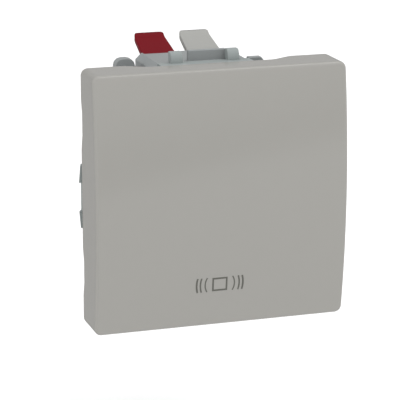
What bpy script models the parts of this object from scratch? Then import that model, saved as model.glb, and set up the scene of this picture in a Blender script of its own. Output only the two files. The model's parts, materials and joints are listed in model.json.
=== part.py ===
"""Contactless card reader insert for a 45 mm wall frame, with lever terminals behind it.

Lengths are millimetres in the constants and the outlines, and become metres when a mesh is
made. X runs to the right, Z up. Depth is counted back from the plane of the front cover's
upper and lower edges; the mesh maker moves it so that world Y is 0 on the seat, the rear faces
of the four pads on the carrier plate, which rest on the wall frame.
"""
import math

import bmesh
import bpy
from mathutils import Matrix, Vector

MM = 0.001
GAP = 0.3                      # space kept between pieces that touch on the real object
PAST = 1.0                     # how far a cutter reaches past what it cuts
SINK = 0.5                     # how far a joined shape reaches into the one that holds it
SKIM = 0.05                    # step that keeps a cut clear of a face it would graze
ROUND_SIDES = 20               # sides of a round piece
STUB_SIDES = 12                # and of a very small one
SMOOTH_ANGLE = math.radians(35)

# Front cover
COVER_HALF = 22.4              # half of the square's side
COVER_REAR = 7.3               # depth of the rear rim
COVER_BULGE = 2.0              # how far the face stands forward at its middle
COVER_EDGE_BULGE = 0.2         # how far it stands forward at its upper and lower edges
COVER_FACE_WALL = 1.5
COVER_SIDE_WALL = 1.2
COVER_EDGE_RADIUS = 0.5       # around the face
COVER_CORNER_RADIUS = 1.2      # of the four corners that run back from it
COVER_ARC_STEPS = 16
RELIEF_FLOOR = 5.2             # depth of the rear edge in the middle of the top and bottom
RELIEF_INNER = 10.5            # half-width of that stretch
RELIEF_OUTER = 15.5            # where the edge is back at full depth
SIDE_DIP_FLOOR = 6.65          # depth of the shallow dips in the side edges
SIDE_DIP_Z = (8.6, 11.0, 14.8, 17.2)
CLIP_Z = (2.5, 6.3)            # the cover's snap clips, above and below the middle
CLIP_FRONT = 2.2
CLIP_THICK = 0.75
CLIP_TOOTH = 0.8
CLIP_TOOTH_DEPTH = (6.3, 7.0)
CLIP_ROOM = 0.2                # between a clip window and the carrier plate

# Carrier: tray that holds the antenna board, plate with snap teeth, catches above and below
SEAT_DEPTH = 9.6               # rear faces of the pads on the plate's corners
PLATE_FRONT = COVER_REAR + GAP
PLATE_REAR = 9.4
PLATE_HALF = 20.8
PAD_CORNER = 20.0              # right angle of each three-cornered pad
PAD_SIDE = 5.0
WINDOW_HALF_X = 10.0
WINDOW_HALF_Z = 8.0
RING_OUTER = 20.1
RING_WALL = 1.2
RING_FRONT = 3.2
RAIL_HALF_X = 22.08
RAIL_HALF_Z = 5.5
RAIL_REAR = 9.2
TOOTH_DEPTH = (7.9, 9.1)
TOOTH_Z = (2.5, 5.5)
TOOTH_TIP_X = (22.78, 22.5)    # at the end nearest the middle, and at the far end
TOOTH_REAR_X = 22.1
LEDGE_HALF_X = 8.3
LEDGE_FRONT = 6.0
LEDGE_Z = (19.4, 22.0)
CATCH_X = (4.05, 6.15)
CATCH_PROFILE = (
    (8.5, 21.2), (9.6, 21.2), (9.6, 22.1), (10.3, 22.1), (10.3, 23.85), (9.1, 23.85), (8.5, 23.0),
)
ARM_X = (15.9, 17.0)
ARM_HALF_Z = 3.0
ARM_REAR = 16.0
ARM_TOOTH_DEPTH = (14.6, 16.0)
ARM_TOOTH_X = 15.2

# Rear housing
HOUSING_FRONT = SEAT_DEPTH + GAP
HOUSING_REAR = 31.0
HOUSING_WALL = 1.2
BODY_HALF_X = 15.6
BODY_HALF_Z = 16.0
BODY_CHAMFER = 2.0
TOWER_HALF_X = 9.0
TOWER_HALF_Z = 17.4
BLOCK_REAR = 20.6
BLOCK_TOP = 21.75
BLOCK_CHAMFER_X = 1.1
BLOCK_CHAMFER_Z = 1.05
CAVITY_HALF_Z = 9.9
CAVITY_SIDE_Z = 14.6
CAVITY_SIDE_X = 9.9            # the cavity is taller outside this half-width
TONGUE_X = (-2.4, 4.4)         # upright rib across the front of the terminal block
TONGUE_DEPTH = (10.6, 11.6)
TONGUE_TOP = 23.65
LUG_X = (-14.1, -10.6)
LUG_DEPTH = (15.0, 17.0)
LUG_TOP = 22.0
LUG_RADIUS = 1.3
STOP_X = (9.8, 12.1, 12.9)
STOP_DEPTH = (14.0, 15.4)
STOP_TOP = 21.15
STOP_SLOPE = 1.0
LUG_ROOT = 14.9
GROOVE_DEPTH = (22.6, 28.6)    # finger grips on the housing's sides
GROOVE_STEP = 1.5
GROOVE_CUT = 0.5

# Terminals: four, at plus and minus this distance from the middle, above and below
TERMINAL_X = 4.2
CHAMBER_HALF_X = 3.45
CHAMBER_Z = (11.0, 20.95)
CHAMBER_REAR = 20.0
TUNNEL_HALF_X = 2.3
TUNNEL_Z = (11.7, 16.1)
FUNNEL = 0.7
SLOT_DEPTH = (19.6, 21.6)
SLOT_FLOOR = 17.8
TAIL_SLOT_HALF_X = 1.6
TAIL_SLOT_REAR = 13.1

# Release lever, as an outline in depth and height around its pivot
PIVOT = (18.4, 19.2)
PIVOT_BOSS_RADIUS = 1.3
PIVOT_STUB_RADIUS = 0.7
PIVOT_POCKET_RADIUS = PIVOT_STUB_RADIUS + GAP
PIVOT_STUB_REACH = 3.6
PIVOT_POCKET_REACH = 3.9
LEVER_ROOT_HALF = 3.12
LEVER_TIP_HALF = 2.7
LEVER_TAPER_DEPTH = 21.9       # where the tab starts to narrow
LEVER_ARM = (
    (18.4, 20.5), (19.6, 20.25), (20.9, 20.75), (21.9, 21.25), (27.6, 23.2), (28.0, 23.75),
    (28.6, 23.9), (29.0, 23.5), (28.9, 22.9), (28.3, 22.35), (22.4, 20.3), (20.8, 19.5),
    (19.7, 19.0), (18.4, 18.2),
)
LEVER_NOSE = ((19.4, 18.6), (17.6, 14.8), (16.3, 14.7), (15.25, 15.1), (17.2, 18.9), (18.4, 19.4))
LEVER_NOSE_HALF = 1.9

# Clamp spring and its moving blade
BLADE_PIVOT = (15.3, 19.3)
BLADE_TIP = (13.8, 12.7)
STRIP_THICK = 0.5
SPRING_HALF = 2.2
SPRING_FRONT = 10.9
SPRING_FOOT = 13.6
BEND_RADIUS = 0.75
BEND_ROOM = 0.2                # between the bend and the moving blade
BEND_ANGLES = range(-60, 91, 30)
SPRING_SHOULDER = 1.0          # slope between the spring's top and its fixed leg

# Contact bar
BAR_HALF = 2.4
BAR_TAIL_HALF = 1.2
BAR_DEPTH = (11.9, 19.6)
BAR_Z = (11.3, 12.1)
BAR_TAIL_END = 8.4
BAR_THICK = 0.8

# Antenna board and what is on it
ANTENNA_HALF = 19.4
ANTENNA_BOARD_DEPTH = (2.0, 2.9)
ANTENNA_CORNER = 1.5
COIL_TURNS = 4
COIL_HALF = 18.1
COIL_PITCH = 1.0
COIL_WIDTH = 0.55
COIL_DEPTH = (1.35, 1.7)
READER_CHIP_HALF = 3.2
READER_CHIP_Z = 2.6
CHIP_THICK = 0.9
LED_X = 0.0
LED_Z = -12.6
LED_SIZE = (2.0, 1.2)
LED_DEPTH = (0.9, 1.7)

# Power board and its parts
POWER_BOARD_HALF = (14.1, 9.6)
POWER_BOARD_DEPTH = (10.4, 11.6)
POWER_BOARD_CORNER = 1.0
PARTS_FRONT = POWER_BOARD_DEPTH[1] + GAP
HEADER_Z = (-6.8, -4.4)
HEADER_HALF_X = 5.0
HEADER_BLOCK_REAR = 5.8
HEADER_PINS = 5
HEADER_PIN_PITCH = 1.9
HEADER_PIN_HALF = 0.35
CONTROL_CHIP_X = (1.8, 8.2)
CONTROL_CHIP_Z = (-2.6, 3.8)
FILM_CAP_LO = (-5.3, PARTS_FRONT, -8.0)
FILM_CAP_HI = (-0.5, 23.0, 3.2)
FILM_CAP_CORNER = 0.7
CAN_CENTRE = (9.0, -5.0)
CAN_RADIUS = 3.9
CAN_REAR = 24.0
FUSE_CENTRE = (-2.9, 5.8)
FUSE_RADIUS = 2.0
FUSE_REAR = 18.6
VARISTOR_X = (0.1, 2.7)
VARISTOR_CENTRE = (16.3, -3.6)
VARISTOR_RADIUS = 4.2
CORE_LO = (3.3, 12.4, 1.2)
CORE_HI = (13.7, 21.2, 6.2)
CORE_LEG = 2.1
CORE_YOKE = 2.0
CORE_MIDDLE_LEG = 1.8
WINDING_WALL_Z = 1.6
WINDING_CORNER = 1.0

# Relay
RELAY_X = (-13.9, -5.8)
RELAY_HALF_Z = 9.2
RELAY_BASE_REAR = 13.1
RELAY_CASE_REAR = 27.6
RELAY_CASE_WALL = 0.6
RELAY_MID_X = sum(RELAY_X) / 2
COIL_CENTRE_Z = -3.6
COIL_FLANGE_RADIUS = 3.1
COIL_WIRE_RADIUS = 2.6
COIL_CORE_RADIUS = 1.6
COIL_START = 13.6
COIL_FLANGE = 0.8
COIL_END = 22.4
COIL_CORE_END = 22.9
YOKE_HALF_X = 2.75
YOKE_Z = (0.0, 0.8)
YOKE_END = 23.3
ARMATURE_DEPTH = (23.8, 24.5)
ARMATURE_Z = (-6.8, 0.9)
ARMATURE_PIVOT = (23.6, 0.4)
CONTACT_HALF_X = 1.2
CONTACT_BLADE = 0.35
CONTACT_BLADE_Z = 2.0
CONTACT_BLADE_FRONT = 15.4
CONTACT_BLADE_END = -2.5       # height where its bent end stops on the armature
CONTACT_BUTTON_DEPTH = 16.4
CONTACT_BUTTON_RADIUS = 0.8
CONTACT_BUTTON = 0.6
FIXED_CONTACT_Z = (4.0, 4.5)
FIXED_CONTACT_REAR = 18.4
FIXED_BUTTON = 0.2

# Colours: red, green, blue; roughness; metallic
FINISHES = {
    "cover_plastic": ((0.62, 0.61, 0.57), 0.28, 0.0),
    "grey_plastic": ((0.42, 0.45, 0.45), 0.45, 0.0),
    "red_plastic": ((0.38, 0.01, 0.02), 0.4, 0.0),
    "light_plastic": ((0.60, 0.60, 0.55), 0.4, 0.0),
    "board_laminate": ((0.03, 0.16, 0.08), 0.5, 0.0),
    "copper": ((0.75, 0.36, 0.20), 0.35, 1.0),
    "spring_steel": ((0.60, 0.60, 0.58), 0.3, 1.0),
    "chip_plastic": ((0.02, 0.02, 0.02), 0.55, 0.0),
    "yellow_plastic": ((0.70, 0.52, 0.06), 0.4, 0.0),
    "blue_plastic": ((0.04, 0.16, 0.45), 0.35, 0.0),
    "black_plastic": ((0.03, 0.03, 0.03), 0.45, 0.0),
    "ferrite": ((0.08, 0.08, 0.09), 0.7, 0.0),
    "clear_plastic": ((0.85, 0.87, 0.80), 0.2, 0.0),
}


def remove_everything():
    """Empty the scene, so that the script gives the same result each run."""
    for old in list(bpy.data.objects):
        bpy.data.objects.remove(old, do_unlink=True)
    for mesh in list(bpy.data.meshes):
        bpy.data.meshes.remove(mesh)


def material_for(name, finish):
    """A Principled material of the object's own, in one of the named finishes."""
    colour, roughness, metallic = FINISHES[finish]
    material = bpy.data.materials.new(name)
    material.use_nodes = True
    shader = material.node_tree.nodes["Principled BSDF"]
    shader.inputs["Base Color"].default_value = (*colour, 1.0)
    shader.inputs["Roughness"].default_value = roughness
    shader.inputs["Metallic"].default_value = metallic
    material.diffuse_color = (*colour, 1.0)
    return material


# ---------------------------------------------------------------- shapes, in millimetres
def prism(outline, axis, low, high):
    """Extrude a closed outline along an axis: 'x' takes (depth, z), 'y' (x, z), 'z' (x, depth)."""
    places = {
        "x": lambda a, b: (low, a, b),
        "y": lambda a, b: (a, low, b),
        "z": lambda a, b: (a, b, low),
    }
    shape = bmesh.new()
    face = shape.faces.new([shape.verts.new(places[axis](a, b)) for a, b in outline])
    swept = bmesh.ops.extrude_face_region(shape, geom=[face])
    travel = Vector([high - low if axis == name else 0.0 for name in "xyz"])
    moved = [item for item in swept["geom"] if isinstance(item, bmesh.types.BMVert)]
    bmesh.ops.translate(shape, verts=moved, vec=travel)
    bmesh.ops.recalc_face_normals(shape, faces=shape.faces)
    return shape


def box(low, high):
    """A block between two corners, each (x, depth, z)."""
    outline = [(low[0], low[2]), (high[0], low[2]), (high[0], high[2]), (low[0], high[2])]
    return prism(outline, "y", low[1], high[1])


def rod(axis, centre, radius, low, high, sides=ROUND_SIDES):
    """A round bar along an axis, around a centre given as prism takes its outline."""
    outline = [
        (
            centre[0] + radius * math.cos(2 * math.pi * step / sides),
            centre[1] + radius * math.sin(2 * math.pi * step / sides),
        )
        for step in range(sides)
    ]
    return prism(outline, axis, low, high)


def wedge(points):
    """The closed solid around a handful of corners, each (x, depth, z)."""
    shape = bmesh.new()
    for point in points:
        shape.verts.new(point)
    bmesh.ops.convex_hull(shape, input=shape.verts)
    bmesh.ops.recalc_face_normals(shape, faces=shape.faces)
    return shape


def bevel(shape, edges, radius, segments):
    """Round some of a shape's edges."""
    bmesh.ops.bevel(
        shape, geom=edges, offset=radius, segments=segments, affect="EDGES", profile=0.5,
        material=-1,
    )
    shape.normal_update()


def round_corners(shape, axis, radius, segments=2):
    """Bevel the edges that run along one axis."""
    index = "xyz".index(axis)
    edges = []
    for edge in shape.edges:
        direction = (edge.verts[1].co - edge.verts[0].co).normalized()
        if abs(direction[index]) > 0.999:
            edges.append(edge)
    bevel(shape, edges, radius, segments)
    return shape


def turned(shape, place, side):
    """Place a terminal's shape: place is its X centre, and side -1 puts it below the middle."""
    if side < 0:
        bmesh.ops.rotate(
            shape, verts=shape.verts, cent=(0, 0, 0), matrix=Matrix.Scale(-1, 3, (0, 0, 1))
        )
        bmesh.ops.reverse_faces(shape, faces=shape.faces)
    bmesh.ops.translate(shape, verts=shape.verts, vec=(place, 0, 0))
    return shape


def mesh_object(name, shape, origin=(0.0, SEAT_DEPTH, 0.0)):
    """Turn a shape into an object in metres whose origin is the point (x, depth, z)."""
    bmesh.ops.translate(shape, verts=shape.verts, vec=-Vector(origin))
    bmesh.ops.scale(shape, verts=shape.verts, vec=(MM, MM, MM))
    mesh = bpy.data.meshes.new(name)
    shape.to_mesh(mesh)
    shape.free()
    made = bpy.data.objects.new(name, mesh)
    made.location = Vector((origin[0], origin[1] - SEAT_DEPTH, origin[2])) * MM
    bpy.context.scene.collection.objects.link(made)
    return made


def build(name, shape, finish, add=(), cut=(), late=(), origin=(0.0, SEAT_DEPTH, 0.0)):
    """Make one sub-part: a shape, what is joined to it, cut out of it, and joined after that."""
    part = mesh_object(name, shape, origin)
    part.data.materials.append(material_for(name, finish))
    tools = [("UNION", "add", extra) for extra in add]
    tools += [("DIFFERENCE", "cut", extra) for extra in cut]
    tools += [("UNION", "late", extra) for extra in late]
    for index, (operation, word, extra) in enumerate(tools):
        tool = mesh_object(f"{name}_{word}_{index}", extra)
        tool.hide_render = True
        tool.display_type = "WIRE"
        modifier = part.modifiers.new(f"{word}_{index}", "BOOLEAN")
        modifier.operation = operation
        modifier.solver = "EXACT"
        modifier.object = tool
    part.data.shade_smooth()
    part.data.set_sharp_from_angle(angle=SMOOTH_ANGLE)
    return part


# ---------------------------------------------------------------- front cover
def face_depth(height, half, front, edge):
    """Depth of a face curved about X, from its front at the middle to its edge at half height."""
    rise = edge - front
    radius = (half * half + rise * rise) / (2 * rise)
    return front + radius - math.sqrt(radius * radius - height * height)


def cup_outline(half, front, edge, rear):
    """Side view of the cover's outside or inside: a curved face with flat top and bottom."""
    face = []
    for step in range(COVER_ARC_STEPS + 1):
        height = half * (2 * step / COVER_ARC_STEPS - 1)
        face.append((face_depth(height, half, front, edge), height))
    return [(rear, -half), *face, (rear, half)]


def smooth_step(value):
    """Ease from 0 to 1 with a flat start and end."""
    return value * value * (3 - 2 * value)


def relief_outline(steps=6):
    """Plan view of what is missing from the top and bottom walls' rear edges."""
    behind = COVER_REAR + PAST
    ramp = []
    for step in range(steps + 1):
        share = step / steps
        depth = COVER_REAR + SKIM - (COVER_REAR + SKIM - RELIEF_FLOOR) * smooth_step(share)
        ramp.append((RELIEF_OUTER - (RELIEF_OUTER - RELIEF_INNER) * share, depth))
    left = [(-x, depth) for x, depth in ramp]
    return [(-RELIEF_OUTER, behind), *left, *reversed(ramp), (RELIEF_OUTER, behind)]


def side_dip_outline():
    """Side view of one shallow dip in the rear edges of both side walls."""
    behind = COVER_REAR + PAST
    low, start, end, high = SIDE_DIP_Z
    return [
        (behind, low), (COVER_REAR + SKIM, low), (SIDE_DIP_FLOOR, start), (SIDE_DIP_FLOOR, end),
        (COVER_REAR + SKIM, high), (behind, high),
    ]


def mirrored(outline):
    """The same outline with its second coordinate on the other side of the middle."""
    return [(a, -b) for a, b in reversed(outline)]


def cover_clip(side, height_sign):
    """One snap clip inside a side wall, with its tooth turned inwards."""
    inner = COVER_HALF - COVER_SIDE_WALL - CLIP_THICK
    low, high = sorted((CLIP_Z[0] * height_sign, CLIP_Z[1] * height_sign))
    outline = [
        (COVER_HALF - COVER_SIDE_WALL / 2, CLIP_FRONT), (inner, CLIP_FRONT),
        (inner, CLIP_TOOTH_DEPTH[0]), (inner - CLIP_TOOTH, CLIP_TOOTH_DEPTH[0] + 0.1),
        (inner, CLIP_TOOTH_DEPTH[1] + 0.2), (COVER_HALF - COVER_SIDE_WALL / 2, COVER_REAR - 0.1),
    ]
    return prism([(side * x, depth) for x, depth in outline], "z", low, high)


def around_face(edge):
    """Whether an edge runs between the cover's face and its walls."""
    if len(edge.link_faces) != 2:
        return False
    fronts = [face.normal.y < -0.9 for face in edge.link_faces]
    return fronts[0] != fronts[1]


def make_front_cover():
    """The curved square cover that the card is held against."""
    shell = prism(
        cup_outline(COVER_HALF, -COVER_BULGE, -COVER_EDGE_BULGE, COVER_REAR),
        "x", -COVER_HALF, COVER_HALF,
    )
    round_corners(shell, "y", COVER_CORNER_RADIUS, segments=3)
    bevel(shell, [edge for edge in shell.edges if around_face(edge)], COVER_EDGE_RADIUS, 2)
    inside = COVER_HALF - COVER_SIDE_WALL
    hollow = prism(
        cup_outline(
            inside, COVER_FACE_WALL - COVER_BULGE, COVER_FACE_WALL - COVER_EDGE_BULGE,
            COVER_REAR + PAST,
        ),
        "x", -inside, inside,
    )
    reach = (inside - PAST, COVER_HALF + PAST)
    cuts = [
        hollow,
        prism(relief_outline(), "z", *reach),
        prism(relief_outline(), "z", -reach[1], -reach[0]),
        prism(side_dip_outline(), "x", -COVER_HALF - PAST, COVER_HALF + PAST),
        prism(mirrored(side_dip_outline()), "x", -COVER_HALF - PAST, COVER_HALF + PAST),
    ]
    clips = [cover_clip(side, height_sign) for side in (-1, 1) for height_sign in (-1, 1)]
    build("front_cover", shell, "cover_plastic", cut=cuts, late=clips)


# ---------------------------------------------------------------- carrier
def snap_tooth(side, height_sign):
    """A wedge that snaps behind the wall frame's edge."""
    root = RAIL_HALF_X - SINK
    front, rear = TOOTH_DEPTH
    corners = []
    for height, tip in zip(TOOTH_Z, TOOTH_TIP_X):
        z = height * height_sign
        corners += [
            (side * root, front, z), (side * root, rear, z),
            (side * TOOTH_REAR_X, rear, z), (side * tip, front, z),
        ]
    return wedge(corners)


def carrier_arm(side):
    """An arm behind the plate, hooked into the housing's side."""
    outline = [
        (ARM_X[0], SEAT_DEPTH - SINK), (ARM_X[0], ARM_TOOTH_DEPTH[0]),
        (ARM_TOOTH_X, ARM_TOOTH_DEPTH[0] + 0.1), (ARM_X[0], ARM_REAR), (ARM_X[1], ARM_REAR),
        (ARM_X[1], SEAT_DEPTH - SINK),
    ]
    return prism([(side * x, depth) for x, depth in outline], "z", -ARM_HALF_Z, ARM_HALF_Z)


def seat_pad(side, height_sign):
    """A three-cornered pad near one corner of the plate, which rests on the wall frame."""
    near = PAD_CORNER - PAD_SIDE
    outline = [(PAD_CORNER, PAD_CORNER), (PAD_CORNER, near), (near, PAD_CORNER)]
    placed = [(side * x, height_sign * z) for x, z in outline]
    return prism(placed, "y", PLATE_REAR - SINK, SEAT_DEPTH)


def make_carrier():
    """The tray and plate behind the cover, with the teeth and catches that hold the frame."""
    plate = box((-PLATE_HALF, PLATE_FRONT, -PLATE_HALF), (PLATE_HALF, PLATE_REAR, PLATE_HALF))
    tray = box((-RING_OUTER, RING_FRONT, -RING_OUTER), (RING_OUTER, PLATE_FRONT + SINK, RING_OUTER))
    rail = box((-RAIL_HALF_X, PLATE_FRONT, -RAIL_HALF_Z), (RAIL_HALF_X, RAIL_REAR, RAIL_HALF_Z))
    adds = [tray, rail]
    cuts = []
    for sign in (-1, 1):
        low, high = sorted((LEDGE_Z[0] * sign, LEDGE_Z[1] * sign))
        adds.append(box((-LEDGE_HALF_X, LEDGE_FRONT, low), (LEDGE_HALF_X, SEAT_DEPTH, high)))
        pick = (lambda outline: outline) if sign > 0 else mirrored
        adds.append(prism(pick(CATCH_PROFILE), "x", *CATCH_X))
        adds.append(prism(pick(CATCH_PROFILE), "x", -CATCH_X[1], -CATCH_X[0]))
        adds.append(carrier_arm(sign))
        adds += [snap_tooth(side, sign) for side in (-1, 1)]
        adds += [seat_pad(side, sign) for side in (-1, 1)]
        near, far = sorted(((CLIP_Z[0] - GAP) * sign, (CLIP_Z[1] + GAP) * sign))
        window = (CLIP_TOOTH_DEPTH[0] - GAP - SKIM, PLATE_FRONT - CLIP_ROOM)
        cuts.append(box((-RING_OUTER - PAST, window[0], near), (RING_OUTER + PAST, window[1], far)))
    inner = RING_OUTER - RING_WALL
    cuts.append(box((-inner, RING_FRONT - PAST, -inner), (inner, PLATE_FRONT, inner)))
    cuts.append(
        box(
            (-WINDOW_HALF_X, PLATE_FRONT - PAST, -WINDOW_HALF_Z),
            (WINDOW_HALF_X, SEAT_DEPTH + PAST, WINDOW_HALF_Z),
        )
    )
    build("carrier", plate, "grey_plastic", add=adds, cut=cuts)


# ---------------------------------------------------------------- rear housing
def body_outline():
    """Rear view of the housing: a chamfered box with a taller middle for the wire tunnels."""
    corner = BODY_CHAMFER
    quarter = [
        (BODY_HALF_X, BODY_HALF_Z - corner), (BODY_HALF_X - corner, BODY_HALF_Z),
        (TOWER_HALF_X, BODY_HALF_Z), (TOWER_HALF_X, TOWER_HALF_Z),
    ]
    top = quarter + [(-x, z) for x, z in reversed(quarter)]
    return top + [(x, -z) for x, z in reversed(top)]


def cavity_outline():
    """Rear view of the space for the electronics, taller beside the terminals."""
    side = BODY_HALF_X - HOUSING_WALL
    quarter = [(side, CAVITY_SIDE_Z), (CAVITY_SIDE_X, CAVITY_SIDE_Z), (CAVITY_SIDE_X, CAVITY_HALF_Z)]
    top = quarter + [(-x, z) for x, z in reversed(quarter)]
    return top + [(x, -z) for x, z in reversed(top)]


def block_outline():
    """Rear view of the terminal block, chamfered along its upper and lower edges."""
    shoulder = (TOWER_HALF_X - BLOCK_CHAMFER_X, BLOCK_TOP)
    foot = (TOWER_HALF_X, BLOCK_TOP - BLOCK_CHAMFER_Z)
    top = [foot, shoulder, (-shoulder[0], shoulder[1]), (-foot[0], foot[1])]
    return top + [(x, -z) for x, z in reversed(top)]


def terminal_cuts(place, sign):
    """Chamber, wire tunnel, lever slot, contact slot and pivot pocket of one terminal."""
    def span(low, high):
        return sorted((low * sign, high * sign))

    chamber = span(*CHAMBER_Z)
    tunnel = span(*TUNNEL_Z)
    slot = span(SLOT_FLOOR, BLOCK_TOP + PAST)
    tail = span(CAVITY_HALF_Z - PAST, CHAMBER_Z[0] + SINK)
    before = HOUSING_FRONT - PAST
    behind = HOUSING_REAR + PAST
    mouth = []
    for depth, spread in ((HOUSING_REAR - FUNNEL, 0.0), (behind, FUNNEL + PAST)):
        for x in (-TUNNEL_HALF_X - spread, TUNNEL_HALF_X + spread):
            for z in (tunnel[0] - spread, tunnel[1] + spread):
                mouth.append((place + x, depth, z))
    half = CHAMBER_HALF_X
    return [
        box((place - half, before, chamber[0]), (place + half, CHAMBER_REAR, chamber[1])),
        box((place - TUNNEL_HALF_X, CHAMBER_REAR - PAST, tunnel[0]),
            (place + TUNNEL_HALF_X, behind, tunnel[1])),
        wedge(mouth),
        box((place - half, SLOT_DEPTH[0], slot[0]), (place + half, SLOT_DEPTH[1], slot[1])),
        box((place - TAIL_SLOT_HALF_X, before, tail[0]),
            (place + TAIL_SLOT_HALF_X, TAIL_SLOT_REAR, tail[1])),
        rod("x", (PIVOT[0], PIVOT[1] * sign), PIVOT_POCKET_RADIUS,
            place - PIVOT_POCKET_REACH, place + PIVOT_POCKET_REACH, STUB_SIDES),
    ]


def housing_lug():
    """The rounded post above the housing's left shoulder."""
    left, right = LUG_X
    turn = [math.radians(angle) for angle in (0, 30, 60, 90)]
    crown_left = [
        (left + LUG_RADIUS * (1 - math.sin(a)), LUG_TOP - LUG_RADIUS * (1 - math.cos(a)))
        for a in reversed(turn)
    ]
    crown_right = [(left + right - x, z) for x, z in reversed(crown_left)]
    outline = [(left, LUG_ROOT), *crown_left, *crown_right, (right, LUG_ROOT)]
    return prism(outline, "y", *LUG_DEPTH)


def housing_stop():
    """The smaller block above the right shoulder, with a sloped outer side."""
    inner, top_outer, foot_outer = STOP_X
    outline = [
        (inner, LUG_ROOT), (inner, STOP_TOP), (top_outer, STOP_TOP), (foot_outer, STOP_TOP - STOP_SLOPE),
        (foot_outer, LUG_ROOT),
    ]
    return prism(outline, "y", *STOP_DEPTH)


def make_rear_housing():
    """The box behind the wall frame, with four terminal chambers and their wire tunnels."""
    body = prism(body_outline(), "y", HOUSING_FRONT, HOUSING_REAR)
    tongue = box(
        (TONGUE_X[0], TONGUE_DEPTH[0], BLOCK_TOP - SINK), (TONGUE_X[1], TONGUE_DEPTH[1], TONGUE_TOP)
    )
    block = prism(block_outline(), "y", HOUSING_FRONT, BLOCK_REAR)
    cavity = prism(cavity_outline(), "y", HOUSING_FRONT - PAST, HOUSING_REAR - HOUSING_WALL)
    cuts = [cavity]
    for sign in (1, -1):
        for place in (-TERMINAL_X, TERMINAL_X):
            cuts += terminal_cuts(place, sign)
        pocket = sorted(((ARM_TOOTH_X - GAP) * sign, (BODY_HALF_X + PAST) * sign))
        cuts.append(
            box(
                (pocket[0], ARM_TOOTH_DEPTH[0] - GAP, -ARM_HALF_Z - GAP),
                (pocket[1], ARM_TOOTH_DEPTH[1] + GAP, ARM_HALF_Z + GAP),
            )
        )
        groove = GROOVE_DEPTH[0]
        while groove < GROOVE_DEPTH[1]:
            inner, outer = sorted(((BODY_HALF_X - GROOVE_CUT) * sign, (BODY_HALF_X + PAST) * sign))
            rear = groove + GROOVE_STEP / 2
            cuts.append(box((inner, groove, -BODY_HALF_Z / 2), (outer, rear, BODY_HALF_Z / 2)))
            groove += GROOVE_STEP
    adds = [block, tongue, housing_lug(), housing_stop()]
    build("rear_housing", body, "grey_plastic", add=adds, cut=cuts)


# ---------------------------------------------------------------- terminals
def make_release_lever(name, place, sign, finish):
    """A tab on two stubs whose nose opens the clamp when the tab is pressed."""
    arm = prism(LEVER_ARM, "x", -LEVER_ROOT_HALF, LEVER_ROOT_HALF)
    end = max(depth for depth, _ in LEVER_ARM)
    for vertex in arm.verts:
        if vertex.co.y > LEVER_TAPER_DEPTH:
            share = (vertex.co.y - LEVER_TAPER_DEPTH) / (end - LEVER_TAPER_DEPTH)
            vertex.co.x *= 1 - share * (1 - LEVER_TIP_HALF / LEVER_ROOT_HALF)
    boss = rod("x", PIVOT, PIVOT_BOSS_RADIUS, -LEVER_ROOT_HALF, LEVER_ROOT_HALF)
    stubs = rod("x", PIVOT, PIVOT_STUB_RADIUS, -PIVOT_STUB_REACH, PIVOT_STUB_REACH, STUB_SIDES)
    nose = prism(LEVER_NOSE, "x", -LEVER_NOSE_HALF, LEVER_NOSE_HALF)
    shapes = [turned(shape, place, sign) for shape in (arm, boss, stubs, nose)]
    origin = (place, PIVOT[0], PIVOT[1] * sign)
    build(name, shapes[0], finish, add=shapes[1:], origin=origin)


def strip(points, thick):
    """Side view of a bent strip: a path of points given a thickness."""
    left, right = [], []
    for index, point in enumerate(points):
        before = Vector(points[max(index - 1, 0)])
        after = Vector(points[min(index + 1, len(points) - 1)])
        along = (after - before).normalized()
        across = Vector((-along.y, along.x)) * thick / 2
        left.append(tuple(Vector(point) + across))
        right.append(tuple(Vector(point) - across))
    return left + list(reversed(right))


def make_clamp_blade(name, place, sign):
    """The moving leg of a clamp spring, which bites on the wire."""
    tip = Vector(BLADE_TIP)
    root = Vector(BLADE_PIVOT)
    start = root + (tip - root).normalized() * (BEND_RADIUS + STRIP_THICK / 2 + BEND_ROOM)
    outline = strip([tuple(start), tuple(tip)], STRIP_THICK)
    blade = turned(prism(outline, "x", -SPRING_HALF, SPRING_HALF), place, sign)
    build(name, blade, "spring_steel", origin=(place, BLADE_PIVOT[0], BLADE_PIVOT[1] * sign))


def make_clamp_spring(name, place, sign):
    """The fixed leg and the bend of a clamp spring."""
    bend = []
    for angle in BEND_ANGLES:
        turn = math.radians(angle)
        bend.append(
            (
                BLADE_PIVOT[0] + BEND_RADIUS * math.cos(turn),
                BLADE_PIVOT[1] + BEND_RADIUS * math.sin(turn),
            )
        )
    top = BLADE_PIVOT[1] + BEND_RADIUS
    path = bend + [
        (SPRING_FRONT + SPRING_SHOULDER, top), (SPRING_FRONT, top - SPRING_SHOULDER),
        (SPRING_FRONT, SPRING_FOOT),
    ]
    spring = turned(prism(strip(path, STRIP_THICK), "x", -SPRING_HALF, SPRING_HALF), place, sign)
    build(name, spring, "spring_steel")


def make_contact_bar(name, place, sign):
    """The bar that the wire is pressed against, with its tail down to the power board."""
    bar = box((-BAR_HALF, BAR_DEPTH[0], BAR_Z[0]), (BAR_HALF, BAR_DEPTH[1], BAR_Z[1]))
    tail = box(
        (-BAR_TAIL_HALF, BAR_DEPTH[0], BAR_TAIL_END),
        (BAR_TAIL_HALF, BAR_DEPTH[0] + BAR_THICK, (BAR_Z[0] + BAR_Z[1]) / 2),
    )
    shapes = [turned(shape, place, sign) for shape in (bar, tail)]
    build(name, shapes[0], "copper", add=shapes[1:])


TERMINALS = (
    ("live", -TERMINAL_X, 1, "red_plastic"),
    ("neutral", TERMINAL_X, 1, "light_plastic"),
    ("load_a", -TERMINAL_X, -1, "light_plastic"),
    ("load_b", TERMINAL_X, -1, "light_plastic"),
)


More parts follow.
